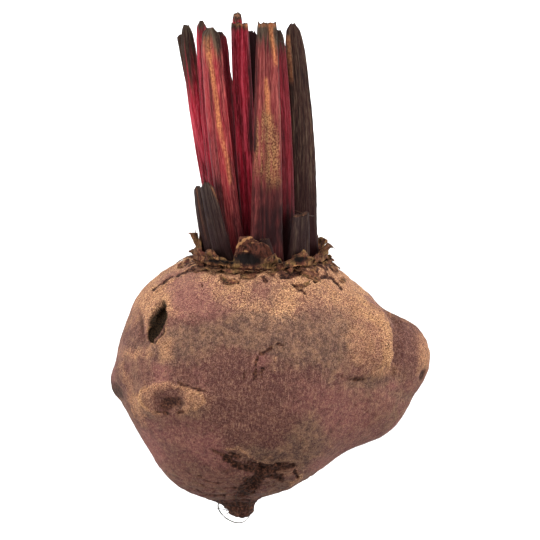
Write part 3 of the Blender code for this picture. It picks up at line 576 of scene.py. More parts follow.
def build_stalk(stalk, seed):
    """A stalk: the CAD solid's form, ribbed and wrinkled, with a ragged end that is hollow inside."""
    solid = node_copy(stalk.node)
    points = np.array([v.co[:] for v in solid.verts])
    foot, tip = points[:, 1].min(), points[:, 1].max()
    line_x, line_z = middle_line(points)
    outer = int((tip - foot) / RING_STEP)
    heights = np.linspace(foot, tip - 0.5, outer)
    angles = np.arange(STALK_SIDES) / STALK_SIDES * math.tau
    middles = np.stack([line_x(heights), heights, line_z(heights)], axis=1)
    radii = radii_around(BVHTree.FromBMesh(solid), middles, angles)
    solid.free()

    # The wall goes on inward at the end, down into its hollow
    inward = np.concatenate([np.zeros(outer), np.arange(1, END_RINGS + 1) / END_RINGS])
    heights = np.concatenate([heights, np.full(END_RINGS, heights[-1])])
    radii = np.concatenate([radii, np.repeat(radii[-1:], END_RINGS, axis=0)])
    height, angle = np.meshgrid(heights, angles, indexing="ij")
    inward = np.repeat(inward[:, None], STALK_SIDES, axis=1)
    from_tip = heights[-1] - height

    # What shapes and dries the wall
    ridges = around(angle, height, 1.9, 60.0, seed)
    ribs = around(angle, height, 4.6, 50.0, seed + 100)
    wrinkles = around(angle, height, 3.6, 14.0, seed + 20)
    crumple = around(angle, height, 1.4, 3.0, seed + 40)
    streaky = around(angle, height, 2.6, 30.0, seed + 60)
    rim = around(angle, np.zeros_like(height), 2.3, 1.0, seed + 80)
    near_tip = 1 - eased(0.0, 9.0, from_tip)
    uneven_tip = from_tip + stalk.dried * (0.7 * streaky + 0.4 * ribs)
    dried = 1 - eased(0.4 * stalk.dried, 1.4 * stalk.dried, uneven_tip)
    dried = np.clip(dried + stalk.dryness, 0, 1)

    # Ribs and wrinkles, the drawn end and its ragged rim
    girth = np.minimum(radii, 3.5) / 3.0
    radii = radii + girth * (0.20 * ridges + (0.12 + 0.14 * dried) * ribs + 0.05 * wrinkles)
    radii -= girth * stalk.wrinkled * dried * (0.28 * np.maximum(wrinkles, 0) + 0.14 * np.abs(crumple))
    radii *= 1 - 0.10 * stalk.wrinkled * near_tip * (1 + crumple)
    together = stalk.drawn * (1 - eased(0.0, 2.2, from_tip)) ** 2
    radii *= (1 - 0.6 * together) * (1 - END_DEEPEST * inward**0.8)
    height = height + (1 - eased(0.0, 5.0, from_tip)) * stalk.ragged * rim * (1 - inward)
    height -= stalk.hollow * np.sin(inward * math.pi / 2) ** 0.8 * (1 + 0.3 * crumple)
    out_x, out_z = np.cos(angle) * radii, np.sin(angle) * radii
    height -= stalk.slant * out_z * (1 - eased(0.0, 4.0, from_tip))
    places = np.stack([line_x(height) + out_x, height, line_z(height) + out_z], axis=-1)

    # What tints the stalk
    masks = {name: np.zeros_like(height) for name in STALK_MASKS}
    masks["dried"] = dried
    masks["inside"] = eased(0.0, 0.35, inward)
    # Darker towards the foot and all over: partly a duller tone, partly painted shade among the stalks.
    masks["dark"] = (1 - eased(2.0, 34.0, height - foot + 8 * streaky)) * 0.75 + stalk.darkness
    px, py = (p.reshape(height.shape) for p in pixels_of(places.reshape(-1, 3)))
    facing = eased(-0.1, 0.2, np.sin(angle)) * (1 - masks["inside"])
    for streak in STREAKS:
        if streak.node == stalk.node:
            uneven = streak.ragged * (2.0 * wrinkles + crumple).ravel()
            share = stroke_share(streak, px.ravel(), py.ravel(), uneven, sharp=0.0)
            masks[streak.mask] += streak.tint * share.reshape(height.shape) * facing

    bm = bmesh.new()
    layers = {name: bm.verts.layers.float.new(name) for name in STALK_MASKS}
    grain = bm.verts.layers.float_vector.new("grain")
    rows = tube(bm, STALK_SIDES, len(heights))
    for ring, row in enumerate(rows):
        for side, vert in enumerate(row):
            vert.co = places[ring, side]
            for name, layer in layers.items():
                vert[layer] = min(masks[name][ring, side], 1.0)
            grain_x = GRAIN_RADIUS * math.cos(angles[side]) + GRAIN_STEP * seed
            grain_z = GRAIN_RADIUS * math.sin(angles[side])
            vert[grain] = Vector((grain_x, places[ring, side, 1], grain_z)) * MM
    face_outward(bm)
    piece = add_piece(bm, stalk.node + "_skin", stalk_material(stalk.slot))
    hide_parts(stalk.node)


# Torn leaf bases round the crown

RIM_MASKS = ("rim", "pith", "dark", "skin")
CROWN_VOXEL = 0.45
LEVEL_Y, LEVEL_RISE = 10.5, 0.13  # the tops of the bases lie level in the photograph
RIGHT_X, RIGHT_FALL = 12.5, 0.6  # from this far to the right they fall away
ROOTED = 0.9  # how deep a leaf base starts below the skin
LYING = 0.25  # how far above the skin one that bends over comes to lie

# A torn leaf base stands at an angle round the crown, in degrees from +X towards +Z, and at a distance from
# its axis. It leans out by a share of its height, and curls further towards its rim.
Base = namedtuple("Base", "name angle radius width height lean curl thickness pith")
BASES = [
    Base("cut_front", 94, 19.6, 14.5, 8.8, 0.02, -0.1, 1.4, 1.0),
    Base("cut_front_lip", 100, 20.4, 9.0, 2.2, 0.5, 0.5, 0.7, 0.0),
    Base("long_front_flap", 123, 20.6, 15.0, 2.2, 0.8, 0.6, 0.5, 0.0),
    Base("pointed_flap", 135, 18.6, 4.4, 5.0, 0.1, 0.2, 0.5, 0.0),
    Base("left_flap", 150, 20.4, 7.0, 2.2, 0.2, 0.4, 0.6, 0.0),
    Base("left_stub", 168, 18.2, 5.0, 9.6, 0.02, 0.0, 4.0, 0.3),
    Base("right_clump", 76, 19.6, 4.6, 3.4, 0.2, 0.6, 1.0, 0.2),
    Base("right_flap", 62, 20.2, 6.0, 2.6, 0.4, 0.8, 0.6, 0.0),
    Base("right_shoulder_flap", 50, 21.2, 6.0, 1.6, 1.2, 0.8, 0.6, 0.0),
    Base("right_curl", 34, 19.4, 5.0, 3.2, 0.0, 0.6, 0.6, 0.0),
    Base("right_tall_curl", 18, 18.6, 5.0, 3.2, 0.0, 0.5, 0.7, 0.0),
    Base("right_edge_curl", 6, 19.8, 4.5, 3.2, 0.1, 0.5, 0.6, 0.0),
    Base("right_low_curl", 350, 20.8, 6.0, 2.0, 0.3, 0.5, 0.6, 0.0),
    Base("back_left_flap", 198, 20.2, 7.0, 3.0, 0.3, 0.7, 0.7, 0.0),
    Base("cut_back_left", 226, 18.6, 8.0, 5.0, 0.10, 0.2, 1.1, 0.6),
    Base("back_flap", 262, 20.4, 10.0, 2.6, 0.5, 0.7, 0.6, 0.0),
    Base("cut_back_right", 298, 18.8, 6.5, 4.6, 0.15, 0.4, 1.0, 0.5),
    Base("back_right_flap", 326, 20.4, 8.0, 2.8, 0.5, 0.8, 0.6, 0.0),
]

# What is only seen on the crown's front: how the cut base's face is marked,
# and painted shade in the hollows under the cut base and the flaps and between the bases.
CROWN_MARKS = [
    Spot("cut_ring_left", "dark", 245, 246, 0.5, 0.4, 0, 0.5, 0.6, -0.1),
    Spot("cut_ring_middle", "dark", 251, 245, 0.5, 0.5, 0, 0.5, 0.6, -0.1),
    Spot("cut_ring_right", "dark", 256, 246, 0.4, 0.4, 0, 0.5, 0.6, -0.1),
    Spot("cut_face", "pith", 252, 248, 6.4, 3.2, 0, 0.5, 1.0, 0.0),
    # Painted shade: the dark hollows under the cut base, the flaps and the clumps.
    Spot("cut_hollow", "dark", 247, 259, 4.6, 1.8, 6, 0.6, 0.9, -0.4),
    Spot("flap_hollow_left", "dark", 220, 262, 4.5, 0.6, 4, 0.5, 0.8, -0.3),
    Spot("flap_hollow_low", "dark", 212, 268, 2.6, 0.7, -6, 0.6, 0.7, -0.2),
    Spot("clump_hollow", "dark", 282, 261, 1.2, 1.2, 0, 0.6, 0.8, -0.3),
    Spot("clump_hollow_right", "dark", 300, 260, 2.4, 0.9, -6, 0.6, 0.8, -0.3),
    Spot("stub_top", "dark", 194, 240, 2.2, 1.4, 0, 0.5, 0.9, 0.0),
]
CROWN_EDGES = [
    Stroke("cut_rim", "rim", 0.40, 1.2, 0.2, [(230, 256), (236, 247), (246, 239), (257, 235), (270, 235)]),
    Stroke("flap_edge", "rim", 0.30, 1.0, 0.2, [(202, 260), (214, 258), (226, 261), (238, 264), (252, 264)]),
    Stroke("cut_foot_edge", "rim", 0.30, 0.8, 0.2, [(231, 256), (240, 252), (252, 251)]),
]

# Rows of small flakes: their distance from the axis, their height, how far they lean out and how many
# degrees they stand apart.
FlakeRow = namedtuple("FlakeRow", "radius height lean step")
FLAKE_ROWS = [
    FlakeRow(17.6, 2.4, 0.0, 15),
    FlakeRow(19.2, 1.8, 0.2, 17),
    FlakeRow(21.0, 1.1, 1.2, 21),
    FlakeRow(24.0, 0.7, 2.2, 37),
]


def crown_place(angle, radius):
    """A place round the crown's axis, level with the crown."""
    turned = math.radians(angle)
    return Vector((CROWN_X + radius * math.cos(turned), CROWN_Y, AXIS_HEIGHT + radius * math.sin(turned)))


def ground_at(tree, place):
    """How high the root's surface is under a place near the crown."""
    hit = tree.ray_cast(place + Vector((0, 12, 0)), Vector((0, -1, 0)))[0]
    return hit.y if hit else CROWN_Y - 6


def add_base(bm, layers, tree, base, seed):
    """A torn leaf base: a bent flake, rooted in the crown. One that leans far lies on the shoulder."""
    columns = max(6, int(base.width / 0.6))
    rows = max(5, int(base.height * (1 + base.lean) / 0.6))
    before = len(bm.verts)
    bmesh.ops.create_grid(bm, x_segments=columns, y_segments=rows, size=0.5)
    bm.verts.ensure_lookup_table()
    for vert in bm.verts[before:]:
        across, up = vert.co.x * 2, vert.co.y + 0.5
        torn = noise.noise(Vector((across * base.width / 4.0, seed, 0.0)))
        fray = noise.noise(Vector((across * base.width / 1.3, seed, 5.0)))
        crease = noise.noise(Vector((across * base.width / 3.0, up * base.height / 3.5, seed)))
        ragged = (0.3 * torn + 0.12 * fray) * (1 - 0.8 * base.pith)
        reach = up * (1 + ragged) * (1 - 0.4 * abs(across) ** 3)
        narrowed = (1 - 0.35 * up**2) * base.width / 2
        side = math.degrees((across * narrowed + 0.8 * torn * up) / base.radius)
        out = base.height * (base.lean * up + 0.5 * base.curl * up**3)
        out += 0.9 * crease * min(base.height, 4) / 4
        out += 0.08 * base.width * (1 - across**2) * up
        place = crown_place(base.angle + side, base.radius + out)
        root = ground_at(tree, crown_place(base.angle + side, base.radius)) - ROOTED
        ground = ground_at(tree, place)
        standing = min(root + (base.height + ROOTED) * reach, ground + base.height * reach / (1 + base.lean))
        lying = ground + LYING + 0.6 * abs(crease) - (ROOTED + LYING) * (1 - eased(0, 0.3, up))
        place.y = max(standing, lying)
        vert.co = place
        vert[layers["rim"]] = 0.8 * up ** (3 + 12 * base.pith) + 0.4 * fray * (1 - base.pith)
        vert[layers["pith"]] = base.pith * (1 - abs(across) ** 4)
        vert[layers["skin"]] = (1 - eased(0.0, 0.7, up)) * eased(20.0, 22.5, base.radius)
    # Each new face once, in the mesh's own order
    flakes = dict.fromkeys(face for vert in bm.verts[before:] for face in vert.link_faces)
    bmesh.ops.solidify(bm, geom=list(flakes), thickness=base.thickness)


def small_flakes(draw):
    """Rows of small torn flakes, which fill the crown's rim and run out over the shoulder."""
    for row in FLAKE_ROWS:
        angle = draw.uniform(0, row.step)
        while angle < 360:
            yield Base(
                name="flake",
                angle=angle,
                radius=row.radius + draw.uniform(-1, 1),
                width=draw.uniform(2.0, 7.0),
                height=row.height * draw.uniform(0.4, 1.5),
                lean=row.lean * draw.uniform(0.5, 1.5),
                curl=draw.uniform(0.1, 0.9),
                thickness=draw.uniform(0.35, 0.6),
                pith=0.0,
            )
            angle += row.step * draw.uniform(0.6, 1.6)


def roughen(bm, layers):
    """Crumples the CAD ring into a torn, clotted mass, and levels its tallest parts."""
    bm.normal_update()
    for vert, normal in [(vert, vert.normal.copy()) for vert in bm.verts]:
        clots = noise.noise(vert.co / 2.6)
        torn = noise.noise(vert.co / 1.1)
        height = vert.co.y - CROWN_Y
        vert[layers["rim"]] = 0.2 * eased(2.0, 7.0, height) + 0.5 * torn
        vert[layers["skin"]] = 1 - eased(-1.0, 1.2, height + clots)
        vert.co += normal * (0.75 * clots + 0.3 * torn)
        level = LEVEL_Y + LEVEL_RISE * max(vert.co.z - AXIS_HEIGHT, 0)
        level -= RIGHT_FALL * max(vert.co.x - RIGHT_X, 0)
        vert.co.y = min(vert.co.y, level + 0.3 * torn)


def mark_crown(bm, layers):
    """Lays the crown's marks and edges on what the camera of the photograph sees."""
    bm.normal_update()
    points = np.array([vert.co[:] for vert in bm.verts])
    facing = np.array([vert.normal.dot(TO_CAMERA) for vert in bm.verts])
    seen = eased(0.0, 0.3, facing) * eased(4.0, 8.0, points[:, 2] - AXIS_HEIGHT)
    px, py = pixels_of(points)
    ragged = lumps(points, 1.1, 21)
    for mark in CROWN_MARKS + CROWN_EDGES:
        share_of = spot_share if mark in CROWN_MARKS else stroke_share
        share = share_of(mark, px, py, ragged) * seen
        for vert, amount in zip(bm.verts, share):
            vert[layers[mark.mask]] += mark.tint * amount
            vert.co += vert.normal * mark.raised * amount


def build_leaf_bases(tree):
    """The crown's rim: the torn mass that the CAD ring stands for, with flakes in it and round it."""
    bm = remeshed(node_copy("leaf_base_ring"), CROWN_VOXEL)
    layers = {name: bm.verts.layers.float.new(name) for name in RIM_MASKS}
    roughen(bm, layers)
    draw = random.Random(12)
    for seed, base in enumerate(BASES + list(small_flakes(draw))):
        add_base(bm, layers, tree, base, seed * 1.7)
    bmesh.ops.recalc_face_normals(bm, faces=bm.faces)
    mark_crown(bm, layers)
    piece = add_piece(bm, "leaf_bases", leaf_base_material())
    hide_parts("leaf_base_ring")


# Fibres and root hairs

FIBRE_SIDES = 5

# A fibre runs along a few pixels of the photograph. It lies on what is seen there, or floats at its own
# height where it hangs free, and is raised towards the camera. Thickness is in millimetres.
Fibre = namedtuple("Fibre", "name thickness raised height pixels")
FIBRES = [
    Fibre(
        "long_hair", 0.44, 0.0, 33.0,
        [(222, 499), (218, 503), (219, 509), (223, 516), (230, 520), (240, 523), (250, 515)],
    ),
    Fibre("short_hair", 0.40, 0.0, 34.5, [(236, 508), (230, 512), (226, 514)]),
    Fibre("side_hair", 0.36, 0.0, 36.0, [(233, 505), (228, 508), (226, 512)]),
    Fibre("level_hair", 0.26, 0.0, 36.0, [(230, 511), (222, 509), (214, 508)]),
    Fibre("tap_fibre", 0.35, 0.5, None, [(248, 494), (250, 502), (249, 511)]),
    Fibre("tap_strand", 0.18, 0.4, None, [(238, 492), (236, 500), (239, 509)]),
    Fibre("pale_thread", 0.10, 0.6, None, [(199, 59), (197, 63), (195, 67), (194, 71)]),
    Fibre("tip_curl", 0.16, 0.7, None, [(214, 27), (217, 29), (216, 33), (218, 37)]),
    Fibre("tip_strand", 0.14, 0.6, None, [(207, 47), (211, 49), (213, 44)]),
    Fibre("cross_fibre", 0.12, 0.6, None, [(276, 39), (279, 41), (282, 40)]),
    Fibre("broken_fibre", 0.18, 0.8, None, [(294, 210), (302, 213), (314, 216)]),
    Fibre("splinter", 0.35, 0.0, 36.0, [(197, 243), (196, 236), (195, 229)]),
]


def seen_form():
    """The CAD model's whole surface, in millimetres."""
    bm = bmesh.new()
    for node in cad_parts.values():
        bm.from_mesh(node.data)
    bmesh.ops.scale(bm, vec=(1 / MM,) * 3, verts=bm.verts)
    tree = BVHTree.FromBMesh(bm)
    bm.free()
    return tree


def seen_places(fibre, tree):
    """A fibre's points in space: on what its pixels see, or at its own height above the floor."""
    places, last_height = [], AXIS_HEIGHT
    for px, py in fibre.pixels:
        start, way = line_of_sight(px, py)
        hit = tree.ray_cast(start, way)[0] if fibre.height is None else None
        if hit is None:
            height = fibre.height or last_height
            hit = start + way * ((height - start.z) / way.z)
        places.append(hit + TO_CAMERA * fibre.raised)
        last_height = places[-1].z
    return places


def spline_points(places, count):
    """Points along a smooth curve through the places."""
    knots = np.array([p[:] for p in places])
    along = np.concatenate([[0], np.cumsum(np.linalg.norm(np.diff(knots, axis=0), axis=1))])
    curves = [np.poly1d(np.polyfit(along, knots[:, axis], min(4, len(places) - 1))) for axis in range(3)]
    steps = np.linspace(0, along[-1], count)
    return [Vector(point) for point in zip(*(curve(steps) for curve in curves))]


def add_fibre(bm, points, thickness):
    """A thin round strand along points, which tapers to its end."""
    rows = tube(bm, FIBRE_SIDES, len(points))
    for ring, row in enumerate(rows):
        way = (points[min(ring + 1, len(points) - 1)] - points[max(ring - 1, 0)]).normalized()
        side = way.orthogonal().normalized()
        taper = 1 - 0.4 * (ring / (len(rows) - 1)) ** 2
        for number, vert in enumerate(row):
            turn = Matrix.Rotation(math.tau * number / FIBRE_SIDES, 3, way)
            vert.co = points[ring] + turn @ side * thickness / 2 * taper


def build_fibres(tree):
    bm = bmesh.new()
    for fibre in FIBRES:
        places = seen_places(fibre, tree)
        add_fibre(bm, spline_points(places, 6 * len(places)), fibre.thickness)
    face_outward(bm)
    piece = add_piece(bm, "fibres", fibre_material())


# Materials


def srgb(red, green, blue):
    """A colour given as 0 to 255, as Blender's linear colour."""
    shares = [channel / 255 for channel in (red, green, blue)]
    return (*(s / 12.92 if s <= 0.04045 else ((s + 0.055) / 1.055) ** 2.4 for s in shares), 1.0)


class Finish:
    """A material under construction, with short calls for the nodes that it is made of."""

    def __init__(self, name, roughness, gloss=0.08):
        self.material = bpy.data.materials.new(name)
        self.material.use_nodes = True
        self.nodes = self.material.node_tree.nodes
        self.links = self.material.node_tree.links
        self.shader = self.nodes["Principled BSDF"]
        self.shader.inputs["Roughness"].default_value = roughness
        self.shader.inputs["Specular IOR Level"].default_value = gloss
        self.object_coordinates = self.nodes.new("ShaderNodeTexCoord").outputs["Object"]

    def plug(self, source, socket):
        """Links an output to a socket, or sets the socket to a plain value."""
        if isinstance(source, bpy.types.NodeSocket):
            self.links.new(source, socket)
        else:
            socket.default_value = source

    def stored(self, name, output):
        """What the mesh keeps under a name at each vertex."""
        node = self.nodes.new("ShaderNodeAttribute")
        node.attribute_name = name
        return node.outputs[output]

    def mask(self, name):
        return self.stored(name, "Fac")

    def broken(self, name, texture, most=1.0):
        """A mask whose soft parts are broken up into patches by a texture."""
        return self.span(self.plus(self.mask(name), texture), 0.66, 1.24, 0.0, most)

    def noise(self, size, detail=3.0, roughness=0.55, stretch=(1, 1, 1), coordinates=None, distortion=0.0):
        """Noise with lumps of a size in millimetres, drawn out along an axis by a stretch over 1."""
        mapping = self.nodes.new("ShaderNodeMapping")
        mapping.inputs["Scale"].default_value = [1 / (size * MM * s) for s in stretch]
        self.links.new(coordinates or self.object_coordinates, mapping.inputs["Vector"])
        texture = self.nodes.new("ShaderNodeTexNoise")
        texture.inputs["Scale"].default_value = 1.0
        texture.inputs["Detail"].default_value = detail
        texture.inputs["Roughness"].default_value = roughness
        texture.inputs["Distortion"].default_value = distortion
        self.links.new(mapping.outputs["Vector"], texture.inputs["Vector"])
        return texture.outputs["Fac"]

    def cells(self, size, coordinates=None):
        """The distance to the nearest of many scattered points, about a size in millimetres apart."""
        texture = self.nodes.new("ShaderNodeTexVoronoi")
        texture.inputs["Scale"].default_value = 1 / (size * MM)
        self.links.new(coordinates or self.object_coordinates, texture.inputs["Vector"])
        return texture.outputs["Distance"]

    def span(self, value, low, high, to_low=0.0, to_high=1.0):
        """Maps one span of values to another, clamped."""
        node = self.nodes.new("ShaderNodeMapRange")
        for name, number in (("From Min", low), ("From Max", high), ("To Min", to_low), ("To Max", to_high)):
            node.inputs[name].default_value = number
        self.links.new(value, node.inputs["Value"])
        return node.outputs["Result"]

    def math(self, operation, a, b):
        node = self.nodes.new("ShaderNodeMath")
        node.operation = operation
        self.plug(a, node.inputs[0])
        self.plug(b, node.inputs[1])
        return node.outputs["Value"]

    def times(self, a, b):
        return self.math("MULTIPLY", a, b)

    def plus(self, a, b):
        return self.math("ADD", a, b)

    def mix(self, share, a, b, blend="MIX"):
        """One colour over another."""
        node = self.nodes.new("ShaderNodeMix")
        node.data_type = "RGBA"
        node.blend_type = blend
        self.plug(share, node.inputs["Factor"])
        self.plug(a, node.inputs["A"])
        self.plug(b, node.inputs["B"])
        return node.outputs["Result"]

    def shades(self, texture, low, high, first, second):
        """The first colour where a texture is low, the second where it is high, and a run between them."""
        return self.mix(self.span(texture, low, high), srgb(*first), srgb(*second))

    def tinted(self, colour, texture, low, high, most, tint):
        """A tint over a colour: none at a texture's low value, and at most that share at its high one."""
        return self.mix(self.span(texture, low, high, 0.0, most), colour, srgb(*tint))

    def bump(self, height, strength, distance, below=None):
        """A bump of a depth in millimetres, laid over another one."""
        node = self.nodes.new("ShaderNodeBump")
        node.inputs["Strength"].default_value = strength
        node.inputs["Distance"].default_value = distance * MM
        self.links.new(height, node.inputs["Height"])
        if below:
            self.links.new(below, node.inputs["Normal"])
        return node.outputs["Normal"]

    def finish(self, colour, normal=None, roughness=None):
        self.plug(colour, self.shader.inputs["Base Color"])
        if normal:
            self.links.new(normal, self.shader.inputs["Normal"])
        if roughness:
            self.links.new(roughness, self.shader.inputs["Roughness"])
        return self.material


def skin_material():
    """Dusty brown skin: mauve below, tan cork on the shoulders, and a sprinkle of dark and pale grains."""
    skin = Finish("beetroot_skin", roughness=0.85)
    patches = skin.noise(9, detail=5, roughness=0.65)
    stains = skin.noise(5, detail=5, roughness=0.7, stretch=(1, 1.6, 1))
    clouds = skin.noise(2.4, detail=5, roughness=0.75)
    mottle = skin.noise(1.1, detail=3, roughness=0.7)
    colour = skin.shades(patches, 0.38, 0.62, (64, 36, 35), (88, 58, 49))
    colour = skin.tinted(colour, stains, 0.5, 0.62, 0.6, (86, 68, 50))
    colour = skin.tinted(colour, stains, 0.48, 0.36, 0.6, (70, 33, 34))
    # Mauve patches, which on the lobe's shaded side and in its valley are painted shade.
    colour = skin.mix(skin.broken("mauve_and_shade", stains), colour, srgb(56, 30, 28))
    colour = skin.mix(skin.broken("rosy", clouds, 0.55), colour, srgb(112, 66, 64))
    # The grey tint: real grey bands, and painted shade in the lobe's creases.
    grey = skin.shades(clouds, 0.42, 0.6, (46, 38, 33), (90, 68, 50))
    colour = skin.mix(skin.broken("grey", clouds, 0.8), colour, grey)
    cork = skin.shades(stains, 0.38, 0.64, (108, 68, 54), (134, 95, 62))
    colour = skin.mix(skin.broken("corky", clouds, 0.8), colour, cork)
    colour = skin.tinted(colour, clouds, 0.54, 0.66, 0.35, (118, 86, 64))
    colour = skin.tinted(colour, clouds, 0.46, 0.34, 0.5, (46, 26, 25))
    colour = skin.tinted(colour, mottle, 0.5, 0.64, 0.3, (118, 84, 66))
    colour = skin.tinted(colour, mottle, 0.5, 0.38, 0.5, (50, 27, 27))

    grain = skin.noise(0.24, detail=1, roughness=0.8)
    coarse = skin.noise(0.5, detail=2, roughness=0.8)
    sprinkled = skin.span(skin.mask("grainy"), 0.0, 0.9, 0.42, 1.0)
    strength = skin.times(sprinkled, skin.span(clouds, 0.35, 0.6, 0.45, 1.0))
    speckle = skin.plus(skin.times(grain, 0.72), skin.times(coarse, 0.28))
    pale_grain = skin.times(skin.span(speckle, 0.5, 0.62), strength)
    dark_grain = skin.times(skin.span(speckle, 0.5, 0.4), strength)
    pale = skin.mix(skin.mask("grainy"), srgb(144, 107, 92), srgb(192, 150, 110))
    colour = skin.mix(pale_grain, colour, pale)
    colour = skin.mix(dark_grain, colour, srgb(52, 26, 21))
    scratches = skin.noise(0.35, detail=2, roughness=0.7, stretch=(1, 6, 1))
    colour = skin.tinted(colour, scratches, 0.56, 0.7, 0.4, (142, 108, 88))
    pores = skin.times(skin.span(skin.cells(1.1), 0.27, 0.13, 0.0, 0.8), strength)
    colour = skin.mix(pores, colour, srgb(38, 20, 15))
    colour = skin.tinted(colour, skin.cells(3.3), 0.13, 0.06, 0.6, (36, 20, 15))
    # The dark mask: cracks and torn tissue, with painted shade in the creases under the lobe and below the
    # nub.
    torn = skin.plus(skin.mask("dark"), skin.span(grain, 0.3, 0.7, -0.3, 0.2))
    fibrous = skin.noise(0.8, detail=3, roughness=0.7)
    torn_and_shade_colour = skin.shades(fibrous, 0.45, 0.7, (28, 14, 10), (84, 52, 38))
    colour = skin.mix(skin.span(torn, 0.2, 0.65), colour, torn_and_shade_colour)

    deep_colour = skin.shades(grain, 0.45, 0.62, (15, 10, 7), (58, 42, 26))
    colour = skin.mix(skin.mask("pit"), colour, deep_colour)

    bumps = skin.bump(speckle, 0.5, 0.35)
    bumps = skin.bump(fibrous, 0.4, 0.5, bumps)
    bumps = skin.bump(clouds, 0.4, 0.8, bumps)
    return skin.finish(colour, bumps)


def stalk_material(slot):
    """A leaf stalk: flesh with darker and paler streaks along it, browned and wrinkled where it has dried.
    The streaks are partly painted highlight and painted shade, on its ribs, lit edges, foot and inner stalks.
    """
    look = STALK_COLOURS[slot]
    stalk = Finish(slot, roughness=0.6, gloss=0.07)
    grain = stalk.stored("grain", "Vector")
    broad = stalk.noise(2.4, detail=2, stretch=(1, 14, 1), coordinates=grain)
    thin = stalk.noise(0.55, detail=3, roughness=0.7, stretch=(1, 22, 1), coordinates=grain)
    flecks = stalk.noise(0.6, detail=3, roughness=0.75, stretch=(1, 1.6, 1), coordinates=grain)
    colour = stalk.shades(broad, 0.36, 0.62, look.deep, look.flesh)
    # Crests lighter and grooves darker, by the textures that also bump the ribs: partly real streaks, partly
    # painted highlight and painted shade.
    colour = stalk.tinted(colour, thin, 0.53, 0.66, 0.6, look.sheen)
    colour = stalk.tinted(colour, thin, 0.48, 0.36, 0.85, look.deep)
    # The pale mask: painted highlights along lit edges and ridges.
    colour = stalk.mix(stalk.times(stalk.mask("pale"), 0.6), colour, srgb(*look.sheen))
    lines = stalk.noise(0.2, detail=2, roughness=0.8, stretch=(1, 18, 1), coordinates=grain)
    colour = stalk.tinted(colour, lines, 0.54, 0.66, 0.5, look.sheen)
    colour = stalk.tinted(colour, lines, 0.47, 0.36, 0.7, look.deep)

    husk = stalk.shades(broad, 0.38, 0.62, look.dark_husk, look.pale_husk)
    # Crests lighter and grooves darker on the husk too: partly painted highlight and painted shade.
    husk = stalk.tinted(husk, thin, 0.54, 0.68, 0.6, (92, 76, 60))
    husk = stalk.tinted(husk, thin, 0.49, 0.37, 0.9, (14, 7, 6))
    husk = stalk.tinted(husk, lines, 0.54, 0.66, 0.35, (104, 84, 68))
    husk = stalk.tinted(husk, lines, 0.47, 0.36, 0.7, (12, 6, 5))
    colour = stalk.mix(stalk.mask("dried"), colour, husk)

    tan = stalk.shades(flecks, 0.38, 0.6, (116, 60, 38), (176, 112, 70))
    streaked = stalk.times(stalk.mask("tan"), stalk.span(thin, 0.36, 0.56, 0.25, 1.0))
    colour = stalk.mix(streaked, colour, tan)
    dots = stalk.noise(0.42, detail=2, roughness=0.8, stretch=(1, 1.4, 1), coordinates=grain)
    cork = stalk.shades(dots, 0.43, 0.58, (56, 31, 22), (158, 118, 74))
    colour = stalk.mix(stalk.times(stalk.mask("corky"), 0.75), colour, cork)
    # The dark mask: painted shade on the inner stalks, in the gaps and partly at the foot, and a darker tone.
    colour = stalk.mix(stalk.mask("dark"), colour, srgb(24, 4, 5))
    pith = stalk.shades(flecks, 0.4, 0.6, (66, 38, 28), (140, 98, 74))
    colour = stalk.mix(stalk.mask("inside"), colour, pith)

    bumps = stalk.bump(thin, 0.8, 0.6, stalk.bump(lines, 0.5, 0.2))
    bumps = stalk.bump(flecks, 0.25, 0.3, bumps)
    rough = stalk.span(stalk.mask("dried"), 0.0, 1.0, 0.5, 0.75)
    return stalk.finish(colour, bumps, rough)


def fibre_material():
    fibre = Finish("dry_fibre", roughness=0.7)
    along = fibre.noise(12.0, detail=1)
    colour = fibre.shades(along, 0.4, 0.6, (14, 9, 7), (52, 34, 25))
    return fibre.finish(colour)


def leaf_base_material():
    """Dead leaf bases: dark brown tissue with ochre patches and torn rims, and pith where one is cut."""
    base = Finish("torn_leaf_base", roughness=0.85)
    patches = base.noise(3.6, detail=4, roughness=0.7)
    clouds = base.noise(1.4, detail=4, roughness=0.7)
    fibres = base.noise(0.5, detail=3, roughness=0.75, stretch=(1, 3, 1))
    colour = base.shades(clouds, 0.4, 0.6, (26, 15, 11), (88, 54, 38))
    colour = base.tinted(colour, patches, 0.5, 0.62, 0.7, (100, 76, 45))
    colour = base.tinted(colour, patches, 0.46, 0.36, 0.7, (70, 34, 28))
    colour = base.tinted(colour, fibres, 0.54, 0.68, 0.6, (136, 98, 62))
    colour = base.tinted(colour, fibres, 0.46, 0.34, 0.7, (16, 9, 7))
    skin = base.shades(fibres, 0.4, 0.6, (84, 50, 36), (160, 114, 74))
    colour = base.mix(base.broken("skin", clouds), colour, skin)
    pith = base.shades(fibres, 0.38, 0.6, (28, 13, 10), (68, 36, 26))
    colour = base.mix(base.mask("pith"), colour, pith)
    rim = base.plus(base.mask("rim"), base.span(clouds, 0.35, 0.65, -0.7, 0.15))
    colour = base.tinted(colour, rim, 0.55, 1.0, 0.6, (146, 104, 68))
    # The dark mask: rings on the cut face, and painted shade in the hollows under and between the bases.
    colour = base.mix(base.broken("dark", fibres), colour, srgb(15, 9, 8))
    bumps = base.bump(fibres, 0.7, 0.5)
    bumps = base.bump(clouds, 0.5, 0.9, bumps)
    return base.finish(colour, bumps)


# Floor, lights and camera

BACKDROP_LIGHT = 0.15  # how much light the backdrop gives
BACKDROP_SEEN = 0.9  # how bright the camera sees it
FLOOR_SIZE = 3.0
FLOOR_COLOUR = (252, 252, 252)
SKY_POWER = 1.45
SKY_SPREAD = math.radians(80)
SKY_LEAN = math.radians(-12)
WINDOW_SIZE = 0.6
LIT_PLACE = Vector((0, 0, 0.03))  # where the windows point

